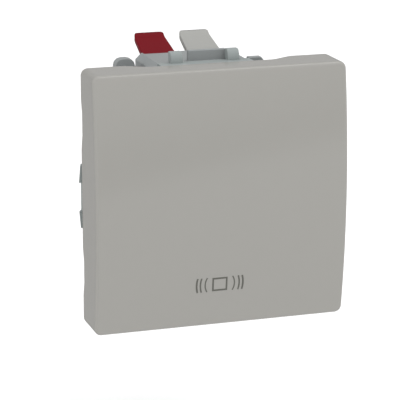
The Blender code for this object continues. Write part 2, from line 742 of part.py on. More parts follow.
def make_terminals():
    """Four push-in terminals, each a lever, a blade, a spring and a contact bar."""
    for word, place, sign, finish in TERMINALS:
        make_release_lever(f"release_lever_{word}", place, sign, finish)
        make_clamp_blade(f"clamp_blade_{word}", place, sign)
        make_clamp_spring(f"clamp_spring_{word}", place, sign)
        make_contact_bar(f"contact_bar_{word}", place, sign)


# ---------------------------------------------------------------- antenna board
def spiral_outline():
    """Front view of the antenna's square spiral, as one band that never meets itself."""
    outer, inner = [], []
    for turn in range(COIL_TURNS):
        for corner, (x_sign, z_sign) in enumerate(((1, -1), (1, 1), (-1, 1), (-1, -1))):
            reach = COIL_HALF - COIL_PITCH * turn
            drop = COIL_PITCH if corner == 3 else 0.0
            outer.append((x_sign * reach, z_sign * reach + drop))
            inner.append((x_sign * (reach - COIL_WIDTH), z_sign * (reach - COIL_WIDTH) + drop))
    return outer + list(reversed(inner))


def make_antenna_board():
    """The board behind the cover's face, its antenna, its reader chip and its light."""
    half = ANTENNA_HALF
    front, rear = ANTENNA_BOARD_DEPTH
    board = round_corners(box((-half, front, -half), (half, rear, half)), "y", ANTENNA_CORNER)
    build("antenna_board", board, "board_laminate")
    build("antenna_coil", prism(spiral_outline(), "y", *COIL_DEPTH), "copper")
    size = READER_CHIP_HALF
    face = rear + GAP
    chip = box((-size, face, READER_CHIP_Z - size), (size, face + CHIP_THICK, READER_CHIP_Z + size))
    build("reader_chip", chip, "chip_plastic")
    build(
        "status_led",
        box(
            (LED_X - LED_SIZE[0] / 2, LED_DEPTH[0], LED_Z - LED_SIZE[1] / 2),
            (LED_X + LED_SIZE[0] / 2, LED_DEPTH[1], LED_Z + LED_SIZE[1] / 2),
        ),
        "clear_plastic",
    )


def make_board_header():
    """The row of pins that joins the antenna board to the power board."""
    front = ANTENNA_BOARD_DEPTH[1] + GAP
    block = box((-HEADER_HALF_X, front, HEADER_Z[0]), (HEADER_HALF_X, HEADER_BLOCK_REAR, HEADER_Z[1]))
    middle = sum(HEADER_Z) / 2
    pins = []
    for index in range(HEADER_PINS):
        x = (index - (HEADER_PINS - 1) / 2) * HEADER_PIN_PITCH
        pins.append(
            box(
                (x - HEADER_PIN_HALF, HEADER_BLOCK_REAR - SINK, middle - HEADER_PIN_HALF),
                (x + HEADER_PIN_HALF, POWER_BOARD_DEPTH[0] - GAP, middle + HEADER_PIN_HALF),
            )
        )
    build("board_header", block, "black_plastic", add=pins)


# ---------------------------------------------------------------- power board
def make_power_board():
    """The board behind the carrier, with the supply parts and the control chip."""
    half_x, half_z = POWER_BOARD_HALF
    front, rear = POWER_BOARD_DEPTH
    board = box((-half_x, front, -half_z), (half_x, rear, half_z))
    board = round_corners(board, "y", POWER_BOARD_CORNER)
    build("power_board", board, "board_laminate")
    build(
        "control_chip",
        box(
            (CONTROL_CHIP_X[0], front - GAP - CHIP_THICK, CONTROL_CHIP_Z[0]),
            (CONTROL_CHIP_X[1], front - GAP, CONTROL_CHIP_Z[1]),
        ),
        "chip_plastic",
    )
    film = round_corners(box(FILM_CAP_LO, FILM_CAP_HI), "y", FILM_CAP_CORNER)
    build("supply_capacitor", film, "yellow_plastic")
    can = rod("y", CAN_CENTRE, CAN_RADIUS, PARTS_FRONT, CAN_REAR)
    build("smoothing_capacitor", can, "black_plastic")
    build("input_fuse", rod("y", FUSE_CENTRE, FUSE_RADIUS, PARTS_FRONT, FUSE_REAR), "black_plastic")
    build("surge_varistor", rod("x", VARISTOR_CENTRE, VARISTOR_RADIUS, *VARISTOR_X), "blue_plastic")


def make_transformer():
    """A small supply transformer: a three-legged core with a winding on its middle leg."""
    low, high = CORE_LO, CORE_HI
    window = (low[1] + CORE_YOKE, high[1] - CORE_YOKE)
    middle = (low[0] + high[0]) / 2
    legs = (low[0] + CORE_LEG, middle - CORE_MIDDLE_LEG / 2)
    windows = []
    for left, right in (legs, (middle + CORE_MIDDLE_LEG / 2, high[0] - CORE_LEG)):
        windows.append(box((left, window[0], low[2] - PAST), (right, window[1], high[2] + PAST)))
    build("transformer_core", box(low, high), "ferrite", cut=windows)
    winding = box(
        (legs[0] + GAP, window[0] + GAP, low[2] - WINDING_WALL_Z),
        (high[0] - CORE_LEG - GAP, window[1] - GAP, high[2] + WINDING_WALL_Z),
    )
    hole = box(
        (legs[1] - GAP, window[0] - PAST, low[2] - GAP),
        (middle + CORE_MIDDLE_LEG / 2 + GAP, window[1] + PAST, high[2] + GAP),
    )
    build("transformer_winding", round_corners(winding, "y", WINDING_CORNER), "copper", cut=[hole])


# ---------------------------------------------------------------- relay
def make_relay():
    """The relay that switches the load: base, case, coil, yoke, armature and contacts."""
    left, right = RELAY_X
    half = RELAY_HALF_Z
    build("relay_base", box((left, PARTS_FRONT, -half), (right, RELAY_BASE_REAR, half)), "black_plastic")
    wall = RELAY_CASE_WALL
    front = RELAY_BASE_REAR + GAP
    hollow = box(
        (left + wall, front - PAST, -half + wall),
        (right - wall, RELAY_CASE_REAR - wall, half - wall),
    )
    case = box((left, front, -half), (right, RELAY_CASE_REAR, half))
    build("relay_case", case, "blue_plastic", cut=[hollow])

    centre = (RELAY_MID_X, COIL_CENTRE_Z)
    wire = rod("y", centre, COIL_WIRE_RADIUS, COIL_START, COIL_END)
    flanges = [
        rod("y", centre, COIL_FLANGE_RADIUS, COIL_START - SKIM, COIL_START + COIL_FLANGE),
        rod("y", centre, COIL_FLANGE_RADIUS, COIL_END - COIL_FLANGE, COIL_END + SKIM),
        rod("y", centre, COIL_CORE_RADIUS, COIL_END - SINK, COIL_CORE_END),
    ]
    build("relay_coil", wire, "copper", add=flanges)
    build(
        "relay_yoke",
        box(
            (RELAY_MID_X - YOKE_HALF_X, COIL_START, YOKE_Z[0]),
            (RELAY_MID_X + YOKE_HALF_X, YOKE_END, YOKE_Z[1]),
        ),
        "spring_steel",
    )

    pivot = (RELAY_MID_X, ARMATURE_PIVOT[0], ARMATURE_PIVOT[1])
    build(
        "relay_armature",
        box(
            (RELAY_MID_X - YOKE_HALF_X, ARMATURE_DEPTH[0], ARMATURE_Z[0]),
            (RELAY_MID_X + YOKE_HALF_X, ARMATURE_DEPTH[1], ARMATURE_Z[1]),
        ),
        "spring_steel",
        origin=pivot,
    )
    crown = ARMATURE_DEPTH[1] + GAP
    blade = [
        (CONTACT_BLADE_FRONT, CONTACT_BLADE_Z), (CONTACT_BLADE_FRONT, CONTACT_BLADE_Z + CONTACT_BLADE),
        (crown + CONTACT_BLADE, CONTACT_BLADE_Z + CONTACT_BLADE),
        (crown + CONTACT_BLADE, CONTACT_BLADE_END), (crown, CONTACT_BLADE_END),
        (crown, CONTACT_BLADE_Z),
    ]
    button_at = (RELAY_MID_X, CONTACT_BUTTON_DEPTH)
    face = CONTACT_BLADE_Z + CONTACT_BLADE
    build(
        "relay_moving_contact",
        prism(blade, "x", RELAY_MID_X - CONTACT_HALF_X, RELAY_MID_X + CONTACT_HALF_X),
        "copper",
        add=[rod("z", button_at, CONTACT_BUTTON_RADIUS, face - SKIM, face + CONTACT_BUTTON)],
        origin=pivot,
    )
    post = box(
        (RELAY_MID_X - CONTACT_HALF_X, RELAY_BASE_REAR + GAP, FIXED_CONTACT_Z[0]),
        (RELAY_MID_X + CONTACT_HALF_X, FIXED_CONTACT_REAR, FIXED_CONTACT_Z[1]),
    )
    button = rod(
        "z", button_at, CONTACT_BUTTON_RADIUS, FIXED_CONTACT_Z[0] - FIXED_BUTTON,
        FIXED_CONTACT_Z[0] + SKIM,
    )
    build("relay_fixed_contact", post, "copper", add=[button])


def main():
    """Build every sub-part."""
    remove_everything()
    make_front_cover()
    make_carrier()
    make_rear_housing()
    make_terminals()
    make_antenna_board()
    make_board_header()
    make_power_board()
    make_transformer()
    make_relay()


main()
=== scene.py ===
"""Looks of the contactless card reader insert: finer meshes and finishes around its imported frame.

Every length below is in millimetres in the part's own frame, with X to the right, Y back into the
wall and Z up, and becomes metres when a piece's mesh is made.
"""
import json
import logging
import math
from collections.abc import Callable, Iterable, Sequence
from dataclasses import dataclass, field
from enum import Enum

import bmesh
import bpy
from mathutils import Matrix, Vector
from mathutils.geometry import intersect_point_line

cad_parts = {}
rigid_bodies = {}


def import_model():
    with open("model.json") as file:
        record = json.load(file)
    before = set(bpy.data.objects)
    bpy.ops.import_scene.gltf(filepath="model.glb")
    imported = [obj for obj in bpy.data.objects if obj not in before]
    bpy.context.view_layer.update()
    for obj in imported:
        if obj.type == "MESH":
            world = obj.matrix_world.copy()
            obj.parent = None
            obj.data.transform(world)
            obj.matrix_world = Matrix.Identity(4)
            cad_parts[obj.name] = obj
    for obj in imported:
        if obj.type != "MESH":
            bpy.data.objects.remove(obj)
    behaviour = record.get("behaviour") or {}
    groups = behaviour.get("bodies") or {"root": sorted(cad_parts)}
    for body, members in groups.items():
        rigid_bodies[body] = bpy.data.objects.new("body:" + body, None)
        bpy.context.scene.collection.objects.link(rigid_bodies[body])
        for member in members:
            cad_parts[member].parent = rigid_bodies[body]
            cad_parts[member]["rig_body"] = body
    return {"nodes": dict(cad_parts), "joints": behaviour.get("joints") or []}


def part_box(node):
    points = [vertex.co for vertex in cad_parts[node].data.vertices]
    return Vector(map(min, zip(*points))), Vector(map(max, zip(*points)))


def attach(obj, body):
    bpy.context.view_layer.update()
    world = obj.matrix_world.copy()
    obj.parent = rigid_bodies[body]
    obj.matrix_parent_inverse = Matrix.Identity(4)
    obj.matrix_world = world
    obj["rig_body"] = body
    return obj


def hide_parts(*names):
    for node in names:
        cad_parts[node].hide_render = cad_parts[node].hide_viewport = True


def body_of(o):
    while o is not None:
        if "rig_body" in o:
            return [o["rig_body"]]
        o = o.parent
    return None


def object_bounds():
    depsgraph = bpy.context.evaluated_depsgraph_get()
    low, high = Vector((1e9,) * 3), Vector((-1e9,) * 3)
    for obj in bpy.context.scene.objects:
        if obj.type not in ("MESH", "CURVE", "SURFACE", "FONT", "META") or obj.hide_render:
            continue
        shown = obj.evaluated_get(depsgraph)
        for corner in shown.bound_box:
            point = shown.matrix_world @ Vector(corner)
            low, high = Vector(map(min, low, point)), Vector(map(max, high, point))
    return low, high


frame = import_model()
CAD_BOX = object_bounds()

MM = 0.001
LOG = logging.getLogger("card_reader")
Colour = tuple[float, float, float]
Point = Sequence[float]


# ------------------------------------------------------------------ shader building
class Signal:
    """A shader socket's value, so that maths on it reads as an expression."""

    def __init__(self, shading: "Shading", socket: bpy.types.NodeSocket) -> None:
        """Wrap a socket of one material's node tree."""
        self.shading = shading
        self.socket = socket

    def math(self, operation: str, first: object, second: object) -> "Signal":
        """Add one Math node and return its result."""
        settings = {"operation": operation}
        return self.shading.add("ShaderNodeMath", settings, {0: first, 1: second})

    @staticmethod
    def _operator(operation: str, swapped: bool = False) -> Callable[["Signal", object], "Signal"]:
        """An operator's method: one Math node on this value and another, or on the other first."""
        def method(self: "Signal", other: object) -> "Signal":
            """Apply the operation."""
            first, second = (other, self) if swapped else (self, other)
            return self.math(operation, first, second)

        return method

    __add__ = _operator("ADD")
    __radd__ = _operator("ADD", swapped=True)
    __sub__ = _operator("SUBTRACT")
    __rsub__ = _operator("SUBTRACT", swapped=True)
    __mul__ = _operator("MULTIPLY")
    __rmul__ = _operator("MULTIPLY", swapped=True)
    __truediv__ = _operator("DIVIDE")
    __gt__ = _operator("GREATER_THAN")
    __lt__ = _operator("LESS_THAN")

    def fold(self, period: float) -> "Signal":
        """Distance to the nearest multiple of a period."""
        return self.math("PINGPONG", self, period / 2)

    def power(self, exponent: float) -> "Signal":
        """This value raised to a power."""
        return self.math("POWER", self, exponent)


class Shading:
    """The node tree of a material or a world, with a single way to add nodes to it."""

    def __init__(self, name: str, world: bool = False) -> None:
        """Start a material or world that has only its shader and output.

        Args:
            name: Its name.
            world: Whether it is a world.
        """
        kind, shader = ("worlds", "Background") if world else ("materials", "Principled BSDF")
        self.owner = getattr(bpy.data, kind).new(name)
        self.owner.use_nodes = True
        self.tree = self.owner.node_tree
        self.surface = self.tree.nodes[shader]

    def add(self, kind: str, settings: dict[str, object], sockets: dict[object, object],
            output: int = 0) -> Signal:
        """Add a node, set it up, and fill its sockets.

        Args:
            kind: The node's type name.
            settings: Its own properties.
            sockets: Values or Signals by socket name or number.
            output: Number of the output to return.

        Returns:
            The chosen output.
        """
        node = self.tree.nodes.new(kind)
        for key, value in settings.items():
            setattr(node, key, value)
        for key, value in sockets.items():
            self.plug(node.inputs[key], value)
        return Signal(self, node.outputs[output])

    def plug(self, socket: bpy.types.NodeSocket, value: object) -> None:
        """Link a Signal to a socket, or set a plain value on it."""
        if isinstance(value, Signal):
            self.tree.links.new(value.socket, socket)
        else:
            socket.default_value = value

    def set(self, **values: object) -> None:
        """Fill the Principled shader's sockets, named with underscores for spaces."""
        for name, value in values.items():
            socket = self.surface.inputs[name.replace("_", " ")]
            if isinstance(value, tuple) and socket.type == "RGBA":
                value = (*value, 1.0)
            self.plug(socket, value)

    def place(self, stretch: Point = (1.0, 1.0, 1.0)) -> Signal:
        """Object coordinates in millimetres.

        Args:
            stretch: Factor along each axis; a small one draws the pattern out.

        Returns:
            The coordinates.
        """
        source = self.add("ShaderNodeTexCoord", {}, {}, output=3)
        scale = tuple(factor / MM for factor in stretch)
        return self.add("ShaderNodeMapping", {}, {"Vector": source, "Scale": scale})

    def noise(self, size: float, detail: float = 2.0, stretch: Point = (1.0, 1.0, 1.0)) -> Signal:
        """Cloudy noise from 0 to 1, around 0.5.

        Args:
            size: Width of a blob in millimetres.
            detail: Octaves of finer noise on it.
            stretch: Factor along each axis.

        Returns:
            The noise.
        """
        sockets = {"Vector": self.place(stretch), "Scale": 1.0 / size, "Detail": detail}
        return self.add("ShaderNodeTexNoise", {}, sockets)

    def cells(self, size: float) -> Signal:
        """Distance to the nearest of many scattered points, about a cell size apart."""
        return self.add("ShaderNodeTexVoronoi", {}, {"Vector": self.place(), "Scale": 1.0 / size})

    def axis(self, index: int) -> Signal:
        """One Object coordinate in millimetres."""
        return self.add("ShaderNodeSeparateXYZ", {}, {0: self.place()}, output=index)

    def blend(self, factor: object, first: object, second: object) -> Signal:
        """Mix two colours; the factor may be a Signal."""
        def colour(value: object) -> object:
            """Give a plain colour its alpha."""
            return value if isinstance(value, Signal) else (*value, 1.0)

        settings = {"data_type": "RGBA", "clamp_factor": True}
        sockets = {0: factor, 6: colour(first), 7: colour(second)}
        return self.add("ShaderNodeMix", settings, sockets, output=2)

    def bump(self, height: Signal, depth: float) -> None:
        """Press a height pattern into the surface, that many millimetres deep."""
        sockets = {"Strength": 1.0, "Distance": depth * MM, "Height": height}
        self.set(Normal=self.add("ShaderNodeBump", {}, sockets))


def shaded(colour: Colour, factor: float) -> Colour:
    """A colour made lighter or darker by a factor."""
    return tuple(min(1.0, channel * factor) for channel in colour)


# ------------------------------------------------------------------ finishes
class Recipe:
    """What every finish shares: its nodes are painted into a new material."""

    def paint(self, shading: Shading) -> None:
        """Build the finish's nodes; each finish has its own way."""
        raise NotImplementedError

    def material(self, name: str) -> bpy.types.Material:
        """Make the finish as a material.

        Args:
            name: Name of the new material.

        Returns:
            The material.
        """
        shading = Shading(name)
        self.paint(shading)
        return shading.owner


@dataclass(frozen=True)
class MouldedPlastic(Recipe):
    """Injection-moulded plastic: slow flow marks, spark-eroded grain and handling smudges."""

    colour: Colour
    roughness: float = 0.42
    grain: float = 0.16
    grain_depth: float = 0.006
    ripple: float = 3.5
    ripple_depth: float = 0.0
    mottle: float = 0.05
    speck: float = 0.0
    sheen: float = 0.5
    glow: float = 0.0
    flow: float = 9.0
    flow_stretch: Point = (1.0, 0.6, 0.35)
    fleck_spacing: float = 0.55
    fleck_radius: float = 0.16
    fleck_shade: float = 0.55
    smudge: float = 4.0
    glow_depths: Point = (0.0008, 0.0007, 0.0006)

    def paint(self, shading: Shading) -> None:
        """Build the finish's nodes."""
        flow = shading.noise(self.flow, 3.0, self.flow_stretch)
        grain = shading.noise(self.grain, 3.0)
        dark, light = shaded(self.colour, 1 - self.mottle), shaded(self.colour, 1 + self.mottle)
        base = shading.blend(flow, dark, light)
        if self.speck:
            flecks = shading.cells(self.fleck_spacing) < self.fleck_radius
            base = shading.blend(flecks * self.speck, base, shaded(self.colour, self.fleck_shade))
        smudge = shading.noise(self.smudge, 4.0)
        shading.set(
            Base_Color=base,
            Roughness=self.roughness + (smudge - 0.5) * 0.10 + (grain - 0.5) * 0.06,
            Specular_IOR_Level=self.sheen,
            Subsurface_Weight=self.glow,
            Subsurface_Radius=self.glow_depths,
            Subsurface_Scale=1.0,
        )
        height = grain * self.grain_depth
        deepest = self.grain_depth
        if self.ripple_depth:
            height = height + shading.noise(self.ripple, 1.0) * self.ripple_depth
            deepest = deepest + self.ripple_depth
        shading.bump(height / deepest, deepest)


@dataclass(frozen=True)
class RolledMetal(Recipe):
    """Sheet metal with rolling lines along one axis and a little tarnish."""

    colour: Colour
    roughness: float = 0.3
    along: Point = (1.0, 0.08, 1.0)
    tarnish: Colour = (0.30, 0.25, 0.20)
    tarnish_share: float = 0.18
    tarnish_start: float = 0.48
    line: float = 0.09
    stain: float = 2.2
    line_depth: float = 0.004

    def paint(self, shading: Shading) -> None:
        """Build the finish's nodes."""
        lines = shading.noise(self.line, 2.0, self.along)
        stain = shading.noise(self.stain, 4.0)
        patches = (stain - self.tarnish_start) * 3.0 * self.tarnish_share
        shading.set(
            Base_Color=shading.blend(patches, self.colour, self.tarnish),
            Metallic=1.0,
            Roughness=self.roughness + (lines - 0.5) * 0.25 + (stain - 0.5) * 0.2,
        )
        shading.bump(lines, self.line_depth)


@dataclass(frozen=True)
class BoardLaminate(Recipe):
    """Solder mask over glass cloth, with hidden tracks showing as lighter lanes."""

    mask: Colour = (0.016, 0.105, 0.05)
    track: Colour = (0.026, 0.145, 0.068)
    pitch: float = 1.27
    half_lane: float = 0.13
    region: float = 9.0
    upright_above: float = 0.52
    level_below: float = 0.46
    weave: float = 0.45
    depth: float = 0.015

    def paint(self, shading: Shading) -> None:
        """Build the finish's nodes."""
        across, up = shading.axis(0), shading.axis(2)
        region = shading.noise(self.region, 0.0)
        lanes_up = (across.fold(self.pitch) < self.half_lane) * (region > self.upright_above)
        lanes_across = (up.fold(self.pitch) < self.half_lane) * (region < self.level_below)
        cloth = across.fold(self.weave) + up.fold(self.weave)
        tracks = lanes_up + lanes_across
        base = shading.blend(tracks, self.mask, self.track)
        base = shading.blend(shading.noise(3.0, 3.0) * 0.25, base, shaded(self.track, 1.3))
        shading.set(
            Base_Color=base,
            Roughness=0.36 + cloth * 0.2 - tracks * 0.06,
            Coat_Weight=0.3,
            Coat_Roughness=0.2,
        )
        shading.bump(cloth * 0.3 + tracks * 0.7, self.depth)


@dataclass(frozen=True)
class WoundWire(Recipe):
    """Enamelled wire laid in tight turns, with painted shade in the grooves between them."""

    colour: Colour = (0.62, 0.24, 0.10)
    pitch: float = 0.32
    axis: int = 1

    def paint(self, shading: Shading) -> None:
        """Build the finish's nodes."""
        wander = shading.noise(2.5, 1.0) * (0.5 * self.pitch)
        across = (shading.axis(self.axis) + wander).fold(self.pitch) / (self.pitch / 2)
        shade = shading.noise(1.4, 3.0)
        # painted shade: the colour falls to 0.35 of itself in the groove between two turns, where the
        # bump is lowest
        base = shading.blend(across, shaded(self.colour, 0.35), self.colour)
        shading.set(
            Base_Color=shading.blend(shade * 0.3, base, shaded(self.colour, 0.6)),
            Metallic=0.85,
            Roughness=0.28 + shade * 0.2,
        )
        shading.bump(across.power(0.5), self.pitch * 0.4)


@dataclass(frozen=True)
class SinteredFerrite(Recipe):
    """Dark pressed and fired powder with tiny pores."""

    colour: Colour = (0.045, 0.045, 0.05)

    def paint(self, shading: Shading) -> None:
        """Build the finish's nodes."""
        pores = shading.cells(0.25)
        cloud = shading.noise(1.8, 4.0)
        shading.set(
            Base_Color=shading.blend(cloud, shaded(self.colour, 0.7), shaded(self.colour, 1.6)),
            Roughness=0.55 + cloud * 0.25,
        )
        shading.bump(pores, 0.02)


@dataclass(frozen=True)
class PrintedInk(Recipe):
    """Pad-printed ink with slightly uneven cover."""

    colour: Colour = (0.085, 0.085, 0.074)

    def paint(self, shading: Shading) -> None:
        """Build the finish's nodes."""
        cover = shading.noise(0.22, 3.0)
        shading.set(
            Base_Color=shading.blend(cover, shaded(self.colour, 0.85), shaded(self.colour, 1.2)),
            Roughness=0.45 + (cover - 0.5) * 0.2,
            Specular_IOR_Level=0.2,
        )
        shading.bump(cover, 0.002)


@dataclass(frozen=True)
class StudioPaper(Recipe):
    """Seamless pale paper under the object."""

    colour: Colour = (0.93, 0.93, 0.93)

    def paint(self, shading: Shading) -> None:
        """Build the finish's nodes."""
        fibre = shading.noise(40.0, 3.0)
        shading.set(
            Base_Color=shading.blend(fibre, shaded(self.colour, 0.99), self.colour),
            Roughness=0.9,
            Specular_IOR_Level=0.1,
        )


class Finish(Enum):
    """The finishes of the reader, by what they are used on."""

    COVER = MouldedPlastic((0.256, 0.251, 0.234), 0.12, 0.3, 0.0002, 5.0, 0.0004, 0.008, sheen=0.3)
    CARRIER = MouldedPlastic((0.240, 0.265, 0.262), 0.42, 0.16, 0.004, 3.5, 0.003, 0.04, 0.10, 0.2)
    HOUSING = MouldedPlastic((0.225, 0.238, 0.239), 0.46, 0.18, 0.006, 3.0, 0.004, 0.05, 0.14, 0.2)
    RED = MouldedPlastic((0.125, 0.003, 0.007), 0.42, 0.15, 0.003, 2.5, 0.003, 0.06, sheen=0.06)
    LIGHT = MouldedPlastic((0.275, 0.275, 0.262), 0.40, 0.15, 0.003, 2.5, 0.003, 0.03, sheen=0.15)
    BLACK = MouldedPlastic((0.028, 0.028, 0.03), 0.42, 0.14, 0.006, 2.5, 0.0, 0.15)
    CHIP = MouldedPlastic((0.018, 0.018, 0.019), 0.55, 0.08, 0.008, 2.5, 0.0, 0.2)
    YELLOW = MouldedPlastic((0.50, 0.33, 0.02), 0.38, 0.14, 0.005, 2.5, 0.0, 0.06)
    BLUE = MouldedPlastic((0.03, 0.10, 0.32), 0.25, 0.2, 0.004, 1.5, 0.02, 0.10)
    DIFFUSER = MouldedPlastic((0.70, 0.74, 0.66), 0.22, 0.2, 0.002, 1.5, 0.0, 0.02, glow=0.3)
    SPRING = RolledMetal((0.58, 0.57, 0.54), 0.26)
    COPPER = RolledMetal((0.72, 0.38, 0.20), 0.3, (1.0, 0.08, 1.0), (0.30, 0.13, 0.07), 0.3)
    IRON = RolledMetal((0.50, 0.50, 0.49), 0.34, (0.08, 1.0, 1.0), (0.25, 0.23, 0.20), 0.25)
    CAN = RolledMetal((0.66, 0.67, 0.68), 0.24, (1.0, 1.0, 0.1), (0.4, 0.4, 0.4), 0.12)
    TIN = RolledMetal((0.62, 0.62, 0.60), 0.22, (1.0, 0.1, 1.0), (0.35, 0.34, 0.32), 0.15)
    GOLD = RolledMetal((0.83, 0.62, 0.28), 0.2, (1.0, 0.1, 1.0), (0.5, 0.36, 0.15), 0.12)
    LAMINATE = BoardLaminate()
    WIRE = WoundWire()
    FERRITE = SinteredFerrite()
    INK = PrintedInk()
    PAPER = StudioPaper()

    def material(self) -> bpy.types.Material:
        """The finish's material, made the first time that it is asked for."""
        name = f"{self.name.lower()}_finish"
        return bpy.data.materials.get(name) or self.value.material(name)

    @property
    def slot(self) -> str | None:
        """The record's material slot for this finish, if it has one."""
        return SLOTS.get(self.name)


SLOTS = {
    "COVER": "cover_plastic", "CARRIER": "grey_plastic", "HOUSING": "grey_plastic",
    "RED": "red_plastic", "LIGHT": "light_plastic", "BLACK": "black_plastic",
    "CHIP": "chip_plastic", "YELLOW": "yellow_plastic", "BLUE": "blue_plastic",
    "DIFFUSER": "clear_plastic", "SPRING": "spring_steel", "COPPER": "copper",
    "LAMINATE": "board_laminate", "FERRITE": "ferrite",
}


# ------------------------------------------------------------------ mesh shaping
AXES = "xyz"
FLAT_ANGLE = math.radians(0.6)     # faces that turn less than this are merged
SHARP_ANGLE = math.radians(40)     # edges that turn more than this are rounded
SMOOTH_ANGLE = math.radians(32)    # edges that turn less than this are shaded smooth
ROOM = 2.3                         # space that a rounding needs, as a multiple of its radius


def box_of(node: str) -> tuple[Vector, Vector]:
    """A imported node's lowest and highest corners, in millimetres."""
    low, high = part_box(node)
    return low / MM, high / MM


def corners_in(items: Iterable[object]) -> list[bmesh.types.BMVert]:
    """The vertices among the things that a bmesh operator returns."""
    return [item for item in items if isinstance(item, bmesh.types.BMVert)]


def round_box_of(node: str) -> tuple[float, float, Vector, float]:
    """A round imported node's front and rear Y, its middle, and its radius, in millimetres."""
    low, high = box_of(node)
    return low.y, high.y, (low + high) / 2, (high.x - low.x) / 2


class Solid:
    """A closed mesh in millimetres, shaped with bmesh's operators."""

    def __init__(self, shape: bmesh.types.BMesh) -> None:
        """Take over a bmesh."""
        self.shape = shape

    @classmethod
    def block(cls, low: Point, high: Point) -> "Solid":
        """A box between two corners."""
        size = [top - bottom for bottom, top in zip(low, high)]
        middle = [(top + bottom) / 2 for bottom, top in zip(low, high)]
        shape = bmesh.new()
        placed = Matrix.Translation(middle) @ Matrix.Diagonal((*size, 1.0))
        bmesh.ops.create_cube(shape, size=1.0, matrix=placed)
        return cls(shape)

    @classmethod
    def prism(cls, outline: Sequence[Point], axis: str, low: float, high: float) -> "Solid":
        """An outline extruded along an axis.

        Args:
            outline: Corners as (y, z) for axis x, (x, z) for y, and (x, y) for z.
            axis: Name of the axis.
            low: Where the solid starts on it.
            high: Where it ends.

        Returns:
            The solid.
        """
        index = AXES.index(axis)
        shape = bmesh.new()
        corners = []
        for first, second in outline:
            place = [first, second]
            place.insert(index, low)
            corners.append(shape.verts.new(place))
        face = shape.faces.new(corners)
        swept = bmesh.ops.extrude_face_region(shape, geom=[face])["geom"]
        travel = Vector((0.0, 0.0, 0.0))
        travel[index] = high - low
        bmesh.ops.translate(shape, verts=corners_in(swept), vec=travel)
        bmesh.ops.recalc_face_normals(shape, faces=shape.faces)
        return cls(shape)

    @classmethod
    def lathe(cls, profile: Iterable[Point], centre: Point, axis: str = "y",
              steps: int = 40) -> "Solid":
        """A profile turned about an axis.

        Args:
            profile: Points as (distance along the axis, radius); flat ends are closed.
            centre: A point on the axis.
            axis: Name of the axis.
            steps: Sides of the turned solid.

        Returns:
            The solid.
        """
        index = AXES.index(axis)
        out = Vector([1.0 if name == ("z" if axis != "z" else "x") else 0.0 for name in AXES])
        shape = bmesh.new()
        line = list(profile)
        if line[0][1]:
            line.insert(0, (line[0][0], 0.0))
        if line[-1][1]:
            line.append((line[-1][0], 0.0))
        points = []
        for along, radius in line:
            place = Vector(centre) + out * radius
            place[index] = along
            points.append(shape.verts.new(place))
        edges = [shape.edges.new(pair) for pair in zip(points, points[1:])]
        spindle = Vector([1.0 if name == axis else 0.0 for name in AXES])
        bmesh.ops.spin(
            shape, geom=points + edges, cent=centre, axis=spindle, angle=2 * math.pi, steps=steps,
            use_merge=True,
        )
        bmesh.ops.remove_doubles(shape, verts=shape.verts, dist=0.001)
        bmesh.ops.recalc_face_normals(shape, faces=shape.faces)
        return cls(shape)

    @classmethod
    def copy_of(cls, node: str) -> "Solid":
        """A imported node's mesh with its triangles merged into flat faces."""
        shape = bmesh.new()
        shape.from_mesh(frame["nodes"][node].data)
        bmesh.ops.scale(shape, verts=shape.verts, vec=(1 / MM,) * 3)
        bmesh.ops.remove_doubles(shape, verts=shape.verts, dist=0.002)
        bmesh.ops.dissolve_limit(
            shape, angle_limit=FLAT_ANGLE, verts=shape.verts, edges=shape.edges,
        )
        return cls(shape)

    def bevel(self, chosen: Callable[[bmesh.types.BMEdge], bool], radius: float,
              segments: int = 3) -> "Solid":
        """Round the edges that a test picks.

        Args:
            chosen: The test, given an edge.
            radius: Width of the rounding.
            segments: Faces across it.

        Returns:
            This solid.
        """
        edges = [edge for edge in self.shape.edges if chosen(edge)]
        bmesh.ops.bevel(
            self.shape, geom=edges, offset=radius, segments=segments, affect="EDGES", profile=0.5,
            material=-1, clamp_overlap=False,
        )
        return self

    def soften(self, radius: float, segments: int = 2) -> "Solid":
        """Round every sharp edge that has room for it, as a moulded part's are.

        Args:
            radius: Width of the rounding.
            segments: Faces across it.

        Returns:
            This solid.
        """
        room = ROOM * radius

        def roomy(edge: bmesh.types.BMEdge) -> bool:
            """Whether an edge is sharp and the faces and edges that meet it give it enough room."""
            if len(edge.link_faces) != 2 or edge.calc_face_angle(0.0) < SHARP_ANGLE:
                return False
            if any(near.calc_length() < room for end in edge.verts for near in end.link_edges):
                return False
            start, far = (end.co for end in edge.verts)
            for corner in {corner for face in edge.link_faces for corner in face.verts}:
                foot, share = intersect_point_line(corner.co, start, far)
                beside = 0.0 < share < 1.0 and corner not in edge.verts
                if beside and (corner.co - foot).length < room:
                    return False
            return True

        return self.bevel(roomy, radius, segments)

    def slice(self, axis: str, places: Iterable[float]) -> "Solid":
        """Cut new edges across the mesh where an axis has the given values."""
        normal = Vector([1.0 if name == axis else 0.0 for name in AXES])
        for place in places:
            everything = self.shape.verts[:] + self.shape.edges[:] + self.shape.faces[:]
            bmesh.ops.bisect_plane(
                self.shape, geom=everything, dist=0.0001, plane_co=normal * place, plane_no=normal,
            )
        return self

    def move(self, rule: Callable[[Vector], Vector]) -> "Solid":
        """Give every vertex the place that a rule makes of its own."""
        for vertex in self.shape.verts:
            vertex.co = rule(vertex.co.copy())
        self.shape.normal_update()
        return self

    def turned_over(self, sign: int) -> "Solid":
        """Swap up and down when the sign is negative."""
        if sign < 0:
            bmesh.ops.scale(self.shape, verts=self.shape.verts, vec=(1, 1, -1))
            bmesh.ops.reverse_faces(self.shape, faces=self.shape.faces)
        return self

